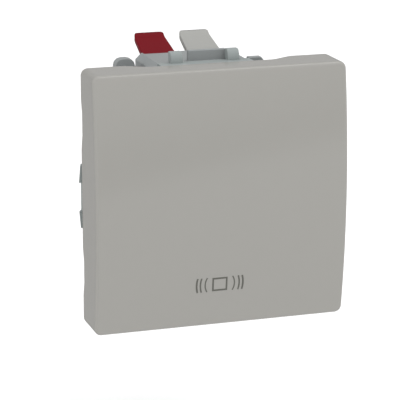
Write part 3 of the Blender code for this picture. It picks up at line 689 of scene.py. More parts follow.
    def with_tools(self, add: Sequence["Solid"] = (), cut: Sequence["Solid"] = ()) -> "Solid":
        """Join solids to this one and then cut others out of it.

        Args:
            add: What is joined.
            cut: What is cut away.

        Returns:
            A new solid; the ones given are used up.
        """
        base = self.plain_object("workpiece")
        tools = []
        for operation, solids in (("UNION", add), ("DIFFERENCE", cut)):
            for solid in solids:
                tool = solid.plain_object("tool")
                tools.append(tool)
                modifier = base.modifiers.new("tool", "BOOLEAN")
                modifier.operation = operation
                modifier.solver = "EXACT"
                modifier.object = tool
        seen = base.evaluated_get(bpy.context.evaluated_depsgraph_get())
        result = bmesh.new()
        result.from_mesh(seen.to_mesh())
        for spent in [base, *tools]:
            mesh = spent.data
            bpy.data.objects.remove(spent)
            bpy.data.meshes.remove(mesh)
        bmesh.ops.remove_doubles(result, verts=result.verts, dist=0.0005)
        bmesh.ops.dissolve_limit(
            result, angle_limit=FLAT_ANGLE, verts=result.verts, edges=result.edges,
        )
        return Solid(result)

    def plain_object(self, name: str) -> bpy.types.Object:
        """Turn the mesh into an object as it is, in the mesh's own units."""
        mesh = bpy.data.meshes.new(name)
        self.shape.to_mesh(mesh)
        self.shape.free()
        made = bpy.data.objects.new(name, mesh)
        bpy.context.scene.collection.objects.link(made)
        return made

    def merged(self, others: Iterable["Solid"]) -> "Solid":
        """Take other solids into this mesh as they are, as shells of their own."""
        for other in others:
            mesh = bpy.data.meshes.new("shell")
            other.shape.to_mesh(mesh)
            other.shape.free()
            self.shape.from_mesh(mesh)
            bpy.data.meshes.remove(mesh)
        return self

    def piece(self, name: str, finish: Finish, node: str, replaces: bool = True) -> None:
        """Finish the solid as a visible piece, in metres.

        Args:
            name: The piece's name.
            finish: What its surface is.
            node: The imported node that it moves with.
            replaces: Whether it is shown in that node's place.
        """
        bmesh.ops.scale(self.shape, verts=self.shape.verts, vec=(MM, MM, MM))
        made = self.plain_object(name)
        made.data.shade_smooth()
        made.data.set_sharp_from_angle(angle=SMOOTH_ANGLE)
        weighted = made.modifiers.new("even_normals", "WEIGHTED_NORMAL")
        weighted.keep_sharp = True
        weighted.weight = 80
        made.data.materials.append(finish.material())
        body = body_of(frame["nodes"][node])[0]
        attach(made, body)
        if replaces:
            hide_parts(node)
        LOG.info("%s: %d faces, rides on %s", name, len(made.data.polygons), body)


def parallel_to(axis: str) -> Callable[[bmesh.types.BMEdge], bool]:
    """A test for edges that run along an axis."""
    index = AXES.index(axis)

    def test(edge: bmesh.types.BMEdge) -> bool:
        """Whether the edge runs along the axis."""
        direction = (edge.verts[1].co - edge.verts[0].co).normalized()
        return abs(direction[index]) > 0.999

    return test


def four_corners(x: float, z: float) -> list[tuple[float, float]]:
    """The corners of an upright rectangle about the middle, left to right and bottom to top."""
    return [(side * x, end * z) for side in (-1, 1) for end in (-1, 1)]


def evenly(low: float, high: float, count: int) -> list[float]:
    """Places that split a stretch into equal parts, without its ends."""
    return [low + (high - low) * step / count for step in range(1, count)]


def level(line: Sequence[Point], at: float) -> float:
    """Height of a line of points at a place along it."""
    for (start, low), (end, high) in zip(line, line[1:]):
        if at <= end:
            return low + (high - low) * (at - start) / (end - start)
    return line[-1][1]


def soft_copy(node: str, edge: float, finish: Finish) -> None:
    """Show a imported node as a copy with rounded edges."""
    Solid.copy_of(node).soften(edge).piece(f"{node}_part", finish, node)


# ------------------------------------------------------------------ front cover
@dataclass
class FrontCover:
    """The curved square plate that a card is held against, with its printed symbol."""

    low: Vector = field(default_factory=lambda: box_of("front_cover")[0])
    high: Vector = field(default_factory=lambda: box_of("front_cover")[1])
    crown: float = 1.8
    side_wall: float = 1.2
    face_wall: float = 1.5
    corner: float = 1.2
    edge: float = 0.5
    lip: float = 0.16
    relief: float = 2.1
    relief_reach: tuple[float, float] = (10.5, 15.5)
    dip: float = 0.65
    dip_reach: tuple[float, float, float, float] = (8.6, 11.0, 14.8, 17.2)
    clip_reach: tuple[float, float] = (2.5, 6.3)
    clip_thick: float = 0.75
    clip_tooth: float = 0.8
    symbol_centre: tuple[float, float] = (-0.5, -14.82)
    symbol_square: tuple[float, float] = (1.36, 1.22)
    symbol_line: float = 0.29
    symbol_arcs: tuple[tuple[float, float, float], ...] = (
        (2.64, 0.37, 0.21), (3.50, 0.22, 0.26), (4.17, 0.18, 0.30),
    )
    symbol_rise: float = 1.29
    ink: float = 0.02

    @property
    def half(self) -> float:
        """Half of the square's side."""
        return self.high.x

    @property
    def front(self) -> float:
        """Y of the flat face before it is crowned."""
        return self.low.y + self.crown

    def bulge(self, height: float) -> float:
        """How far the crowned face stands forward of its upper and lower edges."""
        radius = (self.half ** 2 + self.crown ** 2) / (2 * self.crown)
        return math.sqrt(radius ** 2 - min(abs(height), self.half) ** 2) - (radius - self.crown)

    def crowned(self, place: Vector) -> Vector:
        """Move a point of the flat face to the crowned one."""
        if place.y < self.front + self.face_wall + 0.1:
            place.y -= self.bulge(place.z)
        return place

    def rim_cut(self, place: Vector) -> float:
        """How much of the rear rim is missing at a point of it."""
        inside = self.half - self.side_wall
        if abs(place.z) > inside - 0.01 and abs(place.z) >= abs(place.x):
            near, far = self.relief_reach
            share = min(max((far - abs(place.x)) / (far - near), 0.0), 1.0)
            return self.relief * share * share * (3 - 2 * share)
        start, floor_start, floor_end, end = self.dip_reach
        rising = (abs(place.z) - start) / (floor_start - start)
        falling = (end - abs(place.z)) / (end - floor_end)
        return self.dip * min(max(min(rising, falling), 0.0), 1.0)

    def shaped(self, place: Vector) -> Vector:
        """The rule that crowns the face and waves the rim, with the walls' rows following it."""
        start = self.front + self.face_wall
        share = (place.y - start) / (self.high.y - start)
        place.y -= self.rim_cut(place) * max(share, 0.0)
        return self.crowned(place)

    def shell(self) -> Solid:
        """The cover's wall: a rounded block, hollowed, sliced and bent."""
        half, rear = self.half, self.high.y
        solid = Solid.block((-half, self.front, -half), (half, rear, half))
        solid.bevel(parallel_to("y"), self.corner, 6)
        solid.bevel(self._around_face, self.edge, 5)
        shape = solid.shape
        back = [face for face in shape.faces if face.normal.y > 0.99]
        bmesh.ops.delete(shape, geom=back, context="FACES_ONLY")
        self._line(shape, rear)
        solid.bevel(self._on_rim, self.lip, 2)
        near, far = self.relief_reach
        solid.slice("z", evenly(-half, half, 48))
        solid.slice("z", [side * z for z in (*self.dip_reach, *self.clip_reach) for side in (-1, 1)])
        solid.slice("x", [side * x for x in (near, far, *evenly(near, far, 8)) for side in (-1, 1)])
        solid.slice("x", evenly(-near, near, 8))
        tooth = rear - 0.9
        solid.slice("y", (rear - 5.1, tooth, tooth + 0.5))
        self._raise_clips(solid, rear - 5.1, tooth + 0.5)
        solid.move(lambda place: self._toothed(self.shaped(place), tooth))
        bmesh.ops.recalc_face_normals(shape, faces=shape.faces)
        return solid

    def _around_face(self, edge: bmesh.types.BMEdge) -> bool:
        """Whether an edge runs between the face and a wall."""
        fronts = [face.normal.y < -0.9 for face in edge.link_faces]
        return fronts.count(True) == 1

    def _on_rim(self, edge: bmesh.types.BMEdge) -> bool:
        """Whether an edge bounds the flat rear rim."""
        rears = [face.normal.y > 0.9 and face.calc_center_median().y > self.high.y - 0.01
                 for face in edge.link_faces]
        return rears.count(True) == 1

    def _line(self, shape: bmesh.types.BMesh, rear: float) -> None:
        """Add the rim, the inner walls and the inside of the face to the open block."""
        inside = self.half - self.side_wall
        open_edges = [edge for edge in shape.edges if edge.is_boundary]
        grown = bmesh.ops.extrude_edge_only(shape, edges=open_edges)["geom"]
        for corner in corners_in(grown):
            corner.co.x = min(max(corner.co.x, -inside), inside)
            corner.co.z = min(max(corner.co.z, -inside), inside)
        bmesh.ops.remove_doubles(shape, verts=shape.verts, dist=0.001)
        open_edges = [edge for edge in shape.edges if edge.is_boundary]
        grown = bmesh.ops.extrude_edge_only(shape, edges=open_edges)["geom"]
        inwards = (0, self.front + self.face_wall - rear, 0)
        bmesh.ops.translate(shape, verts=corners_in(grown), vec=inwards)
        inner_loop = [edge for edge in shape.edges if edge.is_boundary]
        bmesh.ops.contextual_create(shape, geom=inner_loop)
        bmesh.ops.recalc_face_normals(shape, faces=shape.faces)

    def _raise_clips(self, solid: Solid, start: float, end: float) -> None:
        """Thicken four patches of the inner side walls into snap clips."""
        inside = self.half - self.side_wall
        low, high = self.clip_reach
        patches = []
        for face in solid.shape.faces:
            middle = face.calc_center_median()
            on_wall = abs(abs(middle.x) - inside) < 0.01 and abs(face.normal.x) > 0.99
            if on_wall and low < abs(middle.z) < high and start < middle.y < end:
                patches.append(face)
        grown = bmesh.ops.extrude_face_region(solid.shape, geom=patches)["geom"]
        bmesh.ops.delete(solid.shape, geom=patches, context="FACES")
        for corner in corners_in(grown):
            corner.co.x -= math.copysign(self.clip_thick, corner.co.x)

    def _toothed(self, place: Vector, tooth: float) -> Vector:
        """Draw the middle line of each clip inwards to make its tooth."""
        clip_face = self.half - self.side_wall - self.clip_thick
        if abs(abs(place.x) - clip_face) < 0.01 and abs(place.y - tooth) < 0.01:
            place.x -= math.copysign(self.clip_tooth, place.x)
        return place

    def symbol(self) -> Solid:
        """The printed sign for a contactless card: a card between two sets of waves."""
        shape = bmesh.new()
        x0, z0 = self.symbol_centre
        wide, tall = self.symbol_square
        rings = []
        for inset in (0.0, self.symbol_line):
            x, z = wide - inset, tall - inset
            corners = ((x0 - x, z0 - z), (x0 + x, z0 - z), (x0 + x, z0 + z), (x0 - x, z0 + z))
            rings.append([shape.verts.new((across, self.front, up)) for across, up in corners])
        outer, inner = rings
        for index in range(4):
            after = (index + 1) % 4
            shape.faces.new((outer[index], outer[after], inner[after], inner[index]))
        for offset, sagitta, line in self.symbol_arcs:
            for side in (-1, 1):
                self._wave(shape, x0, z0, side, offset, sagitta, line)
        bmesh.ops.recalc_face_normals(shape, faces=shape.faces)
        grown = bmesh.ops.extrude_face_region(shape, geom=shape.faces[:])["geom"]
        bmesh.ops.translate(shape, verts=corners_in(grown), vec=(0, -self.ink, 0))
        bmesh.ops.recalc_face_normals(shape, faces=shape.faces)
        solid = Solid(shape).slice("z", evenly(z0 - self.symbol_rise, z0 + self.symbol_rise, 6))
        return solid.move(lambda place: self.crowned(place) + Vector((0, -self.ink / 4, 0)))

    def _wave(self, shape: bmesh.types.BMesh, x0: float, z0: float, side: int, offset: float,
              sagitta: float, line: float) -> None:
        """Add one flat arc of the symbol.

        Args:
            shape: The mesh that it is added to.
            x0: X of the symbol's middle.
            z0: Z of the symbol's middle.
            side: -1 for an arc on the left, 1 for one on the right.
            offset: Distance of the arc's crown from the middle.
            sagitta: How far its ends fall back towards the middle.
            line: Width of its stroke.
        """
        radius = (self.symbol_rise ** 2 + sagitta ** 2) / (2 * sagitta)
        spread = math.asin(self.symbol_rise / radius)
        centre = Vector((x0 + side * (offset - radius), self.front, z0))
        ends = []
        for reach in (radius - line / 2, radius + line / 2):
            out = Vector((side * math.cos(spread), 0, math.sin(spread))) * reach
            ends.append(shape.verts.new(centre + out))
        stroke = shape.edges.new(ends)
        bmesh.ops.spin(
            shape, geom=[*ends, stroke], cent=centre, axis=(0, side, 0), angle=2 * spread, steps=14,
            use_merge=False,
        )

    def dress(self) -> None:
        """Make both pieces."""
        self.shell().piece("cover_shell", Finish.COVER, "front_cover")
        self.symbol().piece("card_symbol", Finish.INK, "front_cover", replaces=False)


# ------------------------------------------------------------------ carrier and housing
EJECTOR_DEPTH = 0.12


def ejector_marks(places: Iterable[tuple[float, float]], face: float, radius: float) -> list[Solid]:
    """Cutters for the round marks that ejector pins leave in a face.

    Args:
        places: (x, z) of each mark.
        face: Y of the face, which looks back.
        radius: Radius of a mark.

    Returns:
        The cutters.
    """
    profile = ((face - EJECTOR_DEPTH, radius - EJECTOR_DEPTH / 2), (face + 0.5, radius))
    return [Solid.lathe(profile, (x, face, z), "y", 28) for x, z in places]


@dataclass
class Carrier:
    """The moulded plate behind the cover, with its tray, snap teeth, catches and arms."""

    edge: float = 0.12
    plate_rear: float = -0.2
    mark: tuple[float, float] = (18.6, 8.6)
    mark_radius: float = 1.1
    groove_reach: tuple[float, float] = (17.6, 19.9)
    groove_lows: tuple[float, float] = (11.2, -12.4)
    groove_width: float = 1.2
    groove_depth: float = 0.25

    def dress(self) -> None:
        """Make the piece, with ejector marks and stiffening grooves on the back of the plate."""
        cuts = ejector_marks(four_corners(*self.mark), self.plate_rear, self.mark_radius)
        for side in (-1, 1):
            near, far = sorted(side * reach for reach in self.groove_reach)
            for height in self.groove_lows:
                low = (near, self.plate_rear - self.groove_depth, height)
                cuts.append(Solid.block(low, (far, 1.0, height + self.groove_width)))
        solid = Solid.copy_of("carrier").with_tools(cut=cuts).soften(self.edge)
        solid.piece("carrier_plate", Finish.CARRIER, "carrier")


@dataclass
class RearHousing:
    """The box behind the wall, with its terminal towers."""

    edge: float = 0.14
    label: tuple[float, float, float] = (12.2, 8.0, 0.3)
    label_corner: float = 1.2
    mark: tuple[float, float] = (13.0, 12.0)
    mark_radius: float = 1.0
    groove: tuple[float, float] = (10.2, 13.3)
    groove_half: float = 1.4
    groove_depth: float = 0.2

    def dress(self) -> None:
        """Make the piece, with an empty label recess, ejector marks and four short grooves."""
        rear = box_of("rear_housing")[1].y
        wide, tall, deep = self.label
        recess = Solid.block((-wide, rear - deep, -tall), (wide, rear + 1, tall))
        recess.bevel(parallel_to("y"), self.label_corner, 5)
        cuts = [recess, *ejector_marks(four_corners(*self.mark), rear, self.mark_radius)]
        for x, z in four_corners(*self.groove):
            start, end = sorted((x, x * 1.02))
            low = (start, rear - self.groove_depth, z - self.groove_half)
            cuts.append(Solid.block(low, (end, rear + 1, z + self.groove_half)))
        solid = Solid.copy_of("rear_housing").with_tools(cut=cuts).soften(self.edge)
        solid.piece("terminal_housing", Finish.HOUSING, "rear_housing")


# ------------------------------------------------------------------ terminals
class Terminal(Enum):
    """The four terminals: name, height sign and the finish of the release tab."""

    LIVE = ("live", 1, Finish.RED)
    NEUTRAL = ("neutral", 1, Finish.LIGHT)
    LOAD_A = ("load_a", -1, Finish.LIGHT)
    LOAD_B = ("load_b", -1, Finish.LIGHT)

    @property
    def word(self) -> str:
        """The terminal's name in the frame."""
        return self.value[0]

    @property
    def sign(self) -> int:
        """1 above the middle and -1 below it."""
        return self.value[1]

    def pivot(self, joint: str) -> Vector:
        """Where one of this terminal's joints turns, in millimetres, as if it were above."""
        found = next(j for j in frame["joints"] if j["name"] == f"{joint}_{self.word}")
        x, y, z = (value / MM for value in found["pos_m"])
        return Vector((x, y, z * self.sign))


@dataclass
class ReleaseTab:
    """The lever that opens a terminal: a tab on stubs, with a nose that lifts the clamp."""

    terminal: Terminal
    root_half: float = 3.12
    tip_half: float = 2.7
    taper_start: float = 3.5
    reach: float = 10.6
    tip_corner: float = 1.15
    edge: float = 0.24
    boss: float = 1.3
    stub: float = 0.7
    stub_reach: float = 3.6
    nose_half: float = 1.9
    top: tuple[Point, ...] = (
        (0.0, 1.3), (1.2, 1.05), (2.5, 1.55), (3.5, 2.05), (8.9, 3.95), (9.3, 4.2), (9.7, 4.6),
        (10.1, 4.67), (10.6, 4.6),
    )
    under: tuple[Point, ...] = (
        (0.0, -1.0), (1.3, -0.2), (2.4, 0.3), (4.0, 1.1), (9.3, 2.95), (10.0, 3.3), (10.6, 3.75),
    )
    nose: tuple[Point, ...] = (
        (1.0, -0.6), (-0.8, -4.4), (-2.1, -4.5), (-3.15, -4.1), (-1.2, -0.3), (0.0, 0.2),
    )

    def half_at(self, along: float) -> float:
        """Half the tab's width at a distance from the pivot, with a rounded end."""
        share = min(max((along - self.taper_start) / (self.reach - self.taper_start), 0.0), 1.0)
        half = self.root_half + (self.tip_half - self.root_half) * share
        into = min(max(self.tip_corner - (self.reach - along), 0.0), self.tip_corner)
        return half - self.tip_corner + math.sqrt(self.tip_corner ** 2 - into ** 2)

    def arm(self, pivot: Vector) -> Solid:
        """The tab: its plan drawn as an outline, made thick, and bent to its side view."""
        turns = [math.radians(angle) for angle in (0, 18, 36, 54, 72, 90)]
        tip = [self.reach - self.tip_corner * (1 - math.sin(turn)) for turn in turns]
        places = sorted({*(along for along, _ in self.top + self.under), *tip})
        flanks = [(self.half_at(along), along) for along in places]
        plan = flanks + [(-half, along) for half, along in reversed(flanks)]
        solid = Solid.prism([(pivot.x + x, pivot.y + y) for x, y in plan], "z", 0.0, 1.0)
        solid.slice("y", [pivot.y + along for along in places[1:-1]])

        def bent(place: Vector) -> Vector:
            """Lift a point of the slab to the tab's upper or lower side."""
            side = self.top if place.z > 0.5 else self.under
            place.z = pivot.z + level(side, place.y - pivot.y)
            return place

        return solid.move(bent).bevel(self._at_rim, self.edge, 3)

    @staticmethod
    def _at_rim(edge: bmesh.types.BMEdge) -> bool:
        """Whether an edge runs between the tab's flanks and its upper or lower side."""
        flat = [abs(face.normal.z) > 0.5 and abs(face.normal.x) < 0.3 for face in edge.link_faces]
        return flat.count(True) == 1

    def body(self) -> Solid:
        """The whole lever: tab, barrel, stubs and nose."""
        pivot = self.terminal.pivot("press_lever")
        barrel = self._bar(pivot, self.boss, self.root_half, 32)
        stubs = self._bar(pivot, self.stub, self.stub_reach, 20)
        nose_outline = [(pivot.y + along, pivot.z + up) for along, up in self.nose]
        nose = Solid.prism(nose_outline, "x", pivot.x - self.nose_half, pivot.x + self.nose_half)
        nose.soften(0.15)
        return self.arm(pivot).with_tools(add=[barrel, stubs, nose]).turned_over(self.terminal.sign)

    @staticmethod
    def _bar(pivot: Vector, radius: float, half: float, sides: int) -> Solid:
        """A round bar through the pivot with a small chamfer at its ends."""
        nick = 0.12
        profile = (
            (pivot.x - half, radius - nick), (pivot.x - half + nick, radius),
            (pivot.x + half - nick, radius), (pivot.x + half, radius - nick),
        )
        return Solid.lathe(profile, (pivot.x, pivot.y, pivot.z), "x", sides)

    def dress(self) -> None:
        """Make the piece."""
        word = self.terminal.word
        self.body().piece(f"release_tab_{word}", self.terminal.value[2], f"release_lever_{word}")


@dataclass
class Clamp:
    """A terminal's metalwork: contact bar, clamp spring and its moving blade."""

    terminal: Terminal
    edge: float = 0.06

    def dress(self) -> None:
        """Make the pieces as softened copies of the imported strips."""
        word = self.terminal.word
        soft_copy(f"contact_bar_{word}", self.edge, Finish.COPPER)
        soft_copy(f"clamp_spring_{word}", self.edge, Finish.SPRING)
        soft_copy(f"clamp_blade_{word}", self.edge, Finish.SPRING)


# ------------------------------------------------------------------ electronics
@dataclass
class FlatPackage:
    """A chip in a flat package, with gull-wing legs on all four sides."""

    node: str
    foot: int
    pitch: float = 0.5
    leg: float = 0.22
    reach: float = 0.7
    skin: float = 0.06
    edge: float = 0.1
    dimple_inset: float = 1.5
    dimple_radius: float = 0.3
    dimple_depth: float = 0.15
    leg_shape: tuple[Point, ...] = (
        (-0.1, 0.5), (0.2, 0.5), (0.36, 0.13), (0.7, 0.13), (0.7, 0.0), (0.28, 0.0), (0.12, 0.37),
        (-0.1, 0.37),
    )

    def dress(self) -> None:
        """Make the body and the row of legs, whose feet are on the given side of it in Y."""
        low, high = box_of(self.node)
        ground = low.y if self.foot < 0 else high.y
        inset = Vector((self.reach, self.skin, self.reach))
        body = Solid.block(low + inset, high - inset).soften(self.edge)
        top = low.y if self.foot > 0 else high.y
        spot = (low.x + self.dimple_inset, top, high.z - self.dimple_inset)
        ends = [(top + side * self.dimple_depth, self.dimple_radius) for side in (-1, 1)]
        dimple = Solid.lathe(ends, spot, steps=20)
        body.with_tools(cut=[dimple]).piece(f"{self.node}_body", Finish.CHIP, self.node)
        edges = (low.x + self.reach, high.x - self.reach, low.z + self.reach, high.z - self.reach)
        count = int((edges[1] - edges[0] - 0.6) / self.pitch) + 1
        legs = []
        for side in (-1, 1):
            for index in range(count):
                step = (index - (count - 1) / 2) * self.pitch
                x, z = (low.x + high.x) / 2 + step, (low.z + high.z) / 2 + step
                edge_x, edge_z = edges[side > 0], edges[2 + (side > 0)]
                across = [(edge_x + side * out, ground - self.foot * up) for out, up in self.leg_shape]
                upward = [(ground - self.foot * up, edge_z + side * out) for out, up in self.leg_shape]
                legs.append(Solid.prism(across, "z", z - self.leg / 2, z + self.leg / 2))
                legs.append(Solid.prism(upward, "x", x - self.leg / 2, x + self.leg / 2))
        first, *others = legs
        first.merged(others).piece(f"{self.node}_legs", Finish.TIN, self.node, replaces=False)


@dataclass
class AntennaBoard:
    """The board behind the cover's face: antenna, reader chip, light and pin header."""

    edge: float = 0.08
    pins: int = 5
    pitch: float = 1.9
    pin: float = 0.32

    def dress(self) -> None:
        """Make the pieces."""
        soft_copy("antenna_board", self.edge, Finish.LAMINATE)
        soft_copy("antenna_coil", 0.05, Finish.COPPER)
        FlatPackage("reader_chip", -1).dress()
        self.light()
        self.header()

    def light(self) -> None:
        """The status light: a small frame with a domed lens."""
        low, high = box_of("status_led")
        middle = ((low.x + high.x) / 2, low.y, (low.z + high.z) / 2)
        box = Solid.block((low.x, low.y + 0.35, low.z), high).soften(self.edge)
        box.piece("status_light_frame", Finish.LIGHT, "status_led", replaces=False)
        dome = [(low.y + 0.4 - 0.4 * math.sin(turn), 0.5 * math.cos(turn))
                for turn in (math.radians(angle) for angle in range(0, 90, 15))]
        lens = Solid.lathe([(low.y + 0.45, 0.5), *dome, (low.y, 0.0)], middle)
        lens.piece("status_light_lens", Finish.DIFFUSER, "status_led")

    def header(self) -> None:
        """The pin header: a notched strip with square pins through it."""
        low, high = box_of("board_header")
        rear, middle = low.y + 2.6, (low.z + high.z) / 2
        strip = Solid.block(low, (high.x, rear, high.z))
        places = [(index - (self.pins - 1) / 2) * self.pitch for index in range(self.pins)]
        notches = []
        for left, right in zip(places, places[1:]):
            x = (left + right) / 2
            for edge, way in ((low.z, 1), (high.z, -1)):
                outline = ((x - 0.4, edge - way), (x + 0.4, edge - way), (x + 0.15, edge + way * 0.3),
                           (x - 0.15, edge + way * 0.3))
                notches.append(Solid.prism(outline, "y", low.y - 1, rear + 1))
        strip.with_tools(cut=notches).soften(0.06).piece("header_strip", Finish.BLACK, "board_header")
        pins = []
        for x in places:
            near = (x - self.pin, low.y, middle - self.pin)
            far = (x + self.pin, high.y, middle + self.pin)
            pins.append(Solid.block(near, far).soften(0.12))
        pins[0].merged(pins[1:]).piece("header_pins", Finish.GOLD, "board_header", replaces=False)


@dataclass
class PowerBoard:
    """The board in the housing, with its supply parts and the control chip."""

    edge: float = 0.08
    joints: tuple[tuple[float, float], ...] = (
        (-12.6, 7.6), (-7.2, 7.6), (-12.6, -7.6), (-7.2, -7.6), (-2.9, -6.6), (-2.9, 1.6),
        (7.3, -5.0), (10.7, -5.0), (-4.1, 5.8), (-1.7, 5.8), (1.0, -6.9), (4.4, 5.6), (12.7, 5.6),
        (12.7, 1.9), (-3.8, -5.6), (3.8, -5.6),
    )

    def dress(self) -> None:
        """Make the pieces."""
        soft_copy("power_board", self.edge, Finish.LAMINATE)
        FlatPackage("control_chip", 1).dress()
        self.solder()
        film = Solid.block(*box_of("supply_capacitor")).soften(0.6, 3)
        film.piece("film_capacitor", Finish.YELLOW, "supply_capacitor")
        self.can()
        self.fuse()
        self.varistor()
        soft_copy("transformer_core", 0.15, Finish.FERRITE)
        soft_copy("transformer_winding", 0.3, Finish.WIRE)

    def solder(self) -> None:
        """The solder cones on the front of the board."""
        front = box_of("power_board")[0].y
        profile = ((front + 0.1, 0.75), (front - 0.04, 0.75), (front - 0.14, 0.5),
                   (front - 0.4, 0.3), (front - 0.7, 0.22), (front - 0.75, 0.0))
        cones = [Solid.lathe(profile, (x, front, z), steps=16) for x, z in self.joints]
        cones[0].merged(cones[1:]).piece("solder_joints", Finish.TIN, "power_board", replaces=False)

    def can(self) -> None:
        """The smoothing capacitor: a sleeved can with a crimp, and its bare scored top."""
        low, high, middle, radius = round_box_of("smoothing_capacitor")
        profile = ((low, radius - 0.25), (low + 0.25, radius), (low + 1.2, radius),
                   (low + 1.5, radius - 0.35), (low + 1.8, radius - 0.35), (low + 2.1, radius),
                   (high - 0.5, radius), (high - 0.15, radius - 0.15), (high, radius - 0.5),
                   (high, radius - 0.8), (high - 0.2, radius - 0.9))
        sleeve = Solid.lathe(profile, middle, steps=48)
        sleeve.piece("can_sleeve", Finish.BLACK, "smoothing_capacitor")
        top = ((high - 0.6, radius - 1.0), (high - 0.12, radius - 1.0), (high - 0.05, radius - 1.15))
        disc = Solid.lathe(top, middle, steps=48)
        x, z, reach = middle.x, middle.z, radius - 1.4
        score = [Solid.block((x - a, high - 0.12, z - b), (x + a, high + 1, z + b))
                 for a, b in ((reach, 0.1), (0.1, reach))]
        disc.with_tools(cut=score).piece("can_top", Finish.CAN, "smoothing_capacitor", replaces=False)

    def fuse(self) -> None:
        """The fuse: a round cap on a base disc."""
        low, high, middle, radius = round_box_of("input_fuse")
        profile = ((low, radius), (low + 0.6, radius), (low + 0.7, radius - 0.15),
                   (high - 0.4, radius - 0.15), (high - 0.1, radius - 0.35), (high, radius - 0.7))
        Solid.lathe(profile, middle, steps=36).piece("fuse_cap", Finish.BLACK, "input_fuse")

    def varistor(self) -> None:
        """The varistor: a disc dipped in epoxy, thicker in its middle."""
        low, high = box_of("surge_varistor")
        middle, radius, half = (low + high) / 2, (high.z - low.z) / 2, (high.x - low.x) / 2
        profile = [(middle.x - half, 0.0)]
        for angle in range(-75, 76, 15):
            turn = math.radians(angle)
            along = half * math.sin(turn) ** 3 * 0.15 + half * 0.85 * math.sin(turn)
            profile.append((middle.x + along, radius - 0.9 + 0.9 * math.cos(turn)))
        profile.append((middle.x + half, 0.0))
        Solid.lathe(profile, middle, "x", 44).piece("varistor_disc", Finish.BLUE, "surge_varistor")


@dataclass
class Relay:
    """The relay that switches the load, in its case."""

    edge: float = 0.1
    flange: float = 0.8
    wire: float = 2.6
    barrel: float = 1.6
    pole_reach: float = 0.5
    nick: float = 0.1

    def dress(self) -> None:
        """Make the pieces."""
        soft_copy("relay_base", 0.25, Finish.BLACK)
        soft_copy("relay_case", 0.3, Finish.BLUE)
        self.coil()
        for node in ("relay_yoke", "relay_armature"):
            soft_copy(node, self.edge, Finish.IRON)
        for node in ("relay_moving_contact", "relay_fixed_contact"):
            soft_copy(node, 0.05, Finish.COPPER)

    def coil(self) -> None:
        """The bobbin with its two flanges, the wire between them and the pole at its end."""
        low, high, middle, radius = round_box_of("relay_coil")
        end = high - self.pole_reach
        first, last, nick = low + self.flange, end - self.flange, self.nick
        spool = ((low, radius - nick), (low + nick, radius), (first - nick, radius),
                 (first, radius - nick), (first, self.barrel), (last, self.barrel),
                 (last, radius - nick), (last + nick, radius), (end - nick, radius),
                 (end, radius - nick))
        Solid.lathe(spool, middle).piece("relay_bobbin", Finish.BLACK, "relay_coil")
        wire = ((first, self.wire - nick), ((first + last) / 2, self.wire), (last, self.wire - nick))
        Solid.lathe(wire, middle).piece("relay_wire", Finish.WIRE, "relay_coil", replaces=False)
        pole = ((end - 0.3, self.barrel), (high - nick, self.barrel), (high, self.barrel - nick))
        Solid.lathe(pole, middle).piece("relay_pole", Finish.IRON, "relay_coil", replaces=False)


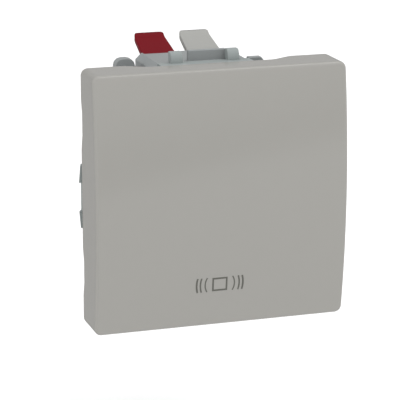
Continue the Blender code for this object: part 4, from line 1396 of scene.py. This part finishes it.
# ------------------------------------------------------------------ studio
@dataclass
class Studio:
    """Camera, light and floor."""

    eye: tuple[float, float, float] = (-107.3, -327.7, 89.2)
    yaw: float = 18.04
    pitch: float = 14.93
    roll: float = 0.11
    lens: float = 184.1
    floor_drop: float = 26.0
    floor_size: float = 4000.0
    sky: float = 1.5
    low_sky: float = 1.6
    wedge: float = 0.5
    wedge_tilt: float = 0.95
    wedge_drop: float = 0.45
    back_share: float = 0.32
    top_place: Point = (130, -110, 390)
    top_size: Point = (360, 70)
    top_radiance: float = 5.0

    def camera(self) -> None:
        """Put the camera at its place, looking at the reader."""
        data = bpy.data.cameras.new("camera")
        data.lens = self.lens
        data.sensor_width = 36.0
        data.clip_start = 0.01
        data.clip_end = 20.0
        camera = bpy.data.objects.new("camera", data)
        turn = Matrix.Rotation(math.radians(-self.yaw), 4, "Z")
        turn = turn @ Matrix.Rotation(math.radians(90 - self.pitch), 4, "X")
        turn = turn @ Matrix.Rotation(math.radians(self.roll), 4, "Z")
        camera.matrix_world = Matrix.Translation(Vector(self.eye) * MM) @ turn
        bpy.context.scene.collection.objects.link(camera)
        bpy.context.scene.camera = camera

    def strip(self, name: str, place: Point, size: Point, radiance: float) -> None:
        """Add one rectangular soft light that faces the reader.

        Args:
            name: Its name.
            place: Its middle, in millimetres.
            size: Its width and height in millimetres.
            radiance: How bright it looks.
        """
        data = bpy.data.lights.new(name, "AREA")
        data.shape = "RECTANGLE"
        data.size, data.size_y = (length * MM for length in size)
        data.energy = radiance * math.pi * data.size * data.size_y
        lamp = bpy.data.objects.new(name, data)
        aim = (-Vector(place)).to_track_quat("-Z", "Y").to_matrix().to_4x4()
        lamp.matrix_world = Matrix.Translation(Vector(place) * MM) @ aim
        lamp.visible_camera = False
        bpy.context.scene.collection.objects.link(lamp)

    def floor(self) -> None:
        """Lay the pale floor, which lights the reader but isn't mirrored in its gloss."""
        half, low = self.floor_size / 2, CAD_BOX[0].z / MM - self.floor_drop
        shape = bmesh.new()
        for x, y in ((-half, -half), (half, -half), (half, half), (-half, half)):
            shape.verts.new(Vector((x, y, low)) * MM)
        shape.faces.new(shape.verts)
        made = Solid(shape).plain_object("floor")
        made.data.materials.append(Finish.PAPER.material())
        made.visible_glossy = False

    def world(self) -> None:
        """Surround the reader with white light: weak behind it, with a dim wedge low in front."""
        shading = Shading("studio", world=True)
        direction = shading.add("ShaderNodeTexCoord", {}, {}, output=0)
        x, y, z = (shading.add("ShaderNodeSeparateXYZ", {}, {0: direction}, output=index)
                   for index in range(3))

        def eased(value: Signal, start: float, end: float, low: float, high: float) -> Signal:
            """Go smoothly from one brightness to another as a value passes a stretch."""
            sockets = {"Value": value, "From Min": start, "From Max": end, "To Min": low,
                       "To Max": high}
            return shading.add("ShaderNodeMapRange", {"interpolation_type": "SMOOTHSTEP"}, sockets)

        above = z - self.wedge_tilt * x + self.wedge_drop
        front = eased(above, -0.015, 0.015, self.low_sky, self.wedge) + eased(
            above, 0.015, 0.30, 0.0, self.sky - self.wedge)
        strength = front * eased(y, 0.1, 0.75, 1.0, self.back_share)
        shading.set(Color=(1.0, 1.0, 1.0), Strength=strength)
        bpy.context.scene.world = shading.owner
        bpy.context.scene.view_settings.view_transform = "Standard"

    def dress(self) -> None:
        """Set everything up."""
        self.camera()
        self.floor()
        self.world()
        self.strip("top_strip", self.top_place, self.top_size, self.top_radiance)


def main() -> None:
    """Build the reader's looks and the studio."""
    logging.basicConfig(level=logging.INFO, format="%(message)s")
    FrontCover().dress()
    Carrier().dress()
    RearHousing().dress()
    for terminal in Terminal:
        ReleaseTab(terminal).dress()
        Clamp(terminal).dress()
    AntennaBoard().dress()
    PowerBoard().dress()
    Relay().dress()
    Studio().dress()


if __name__ == "__main__":
    main()
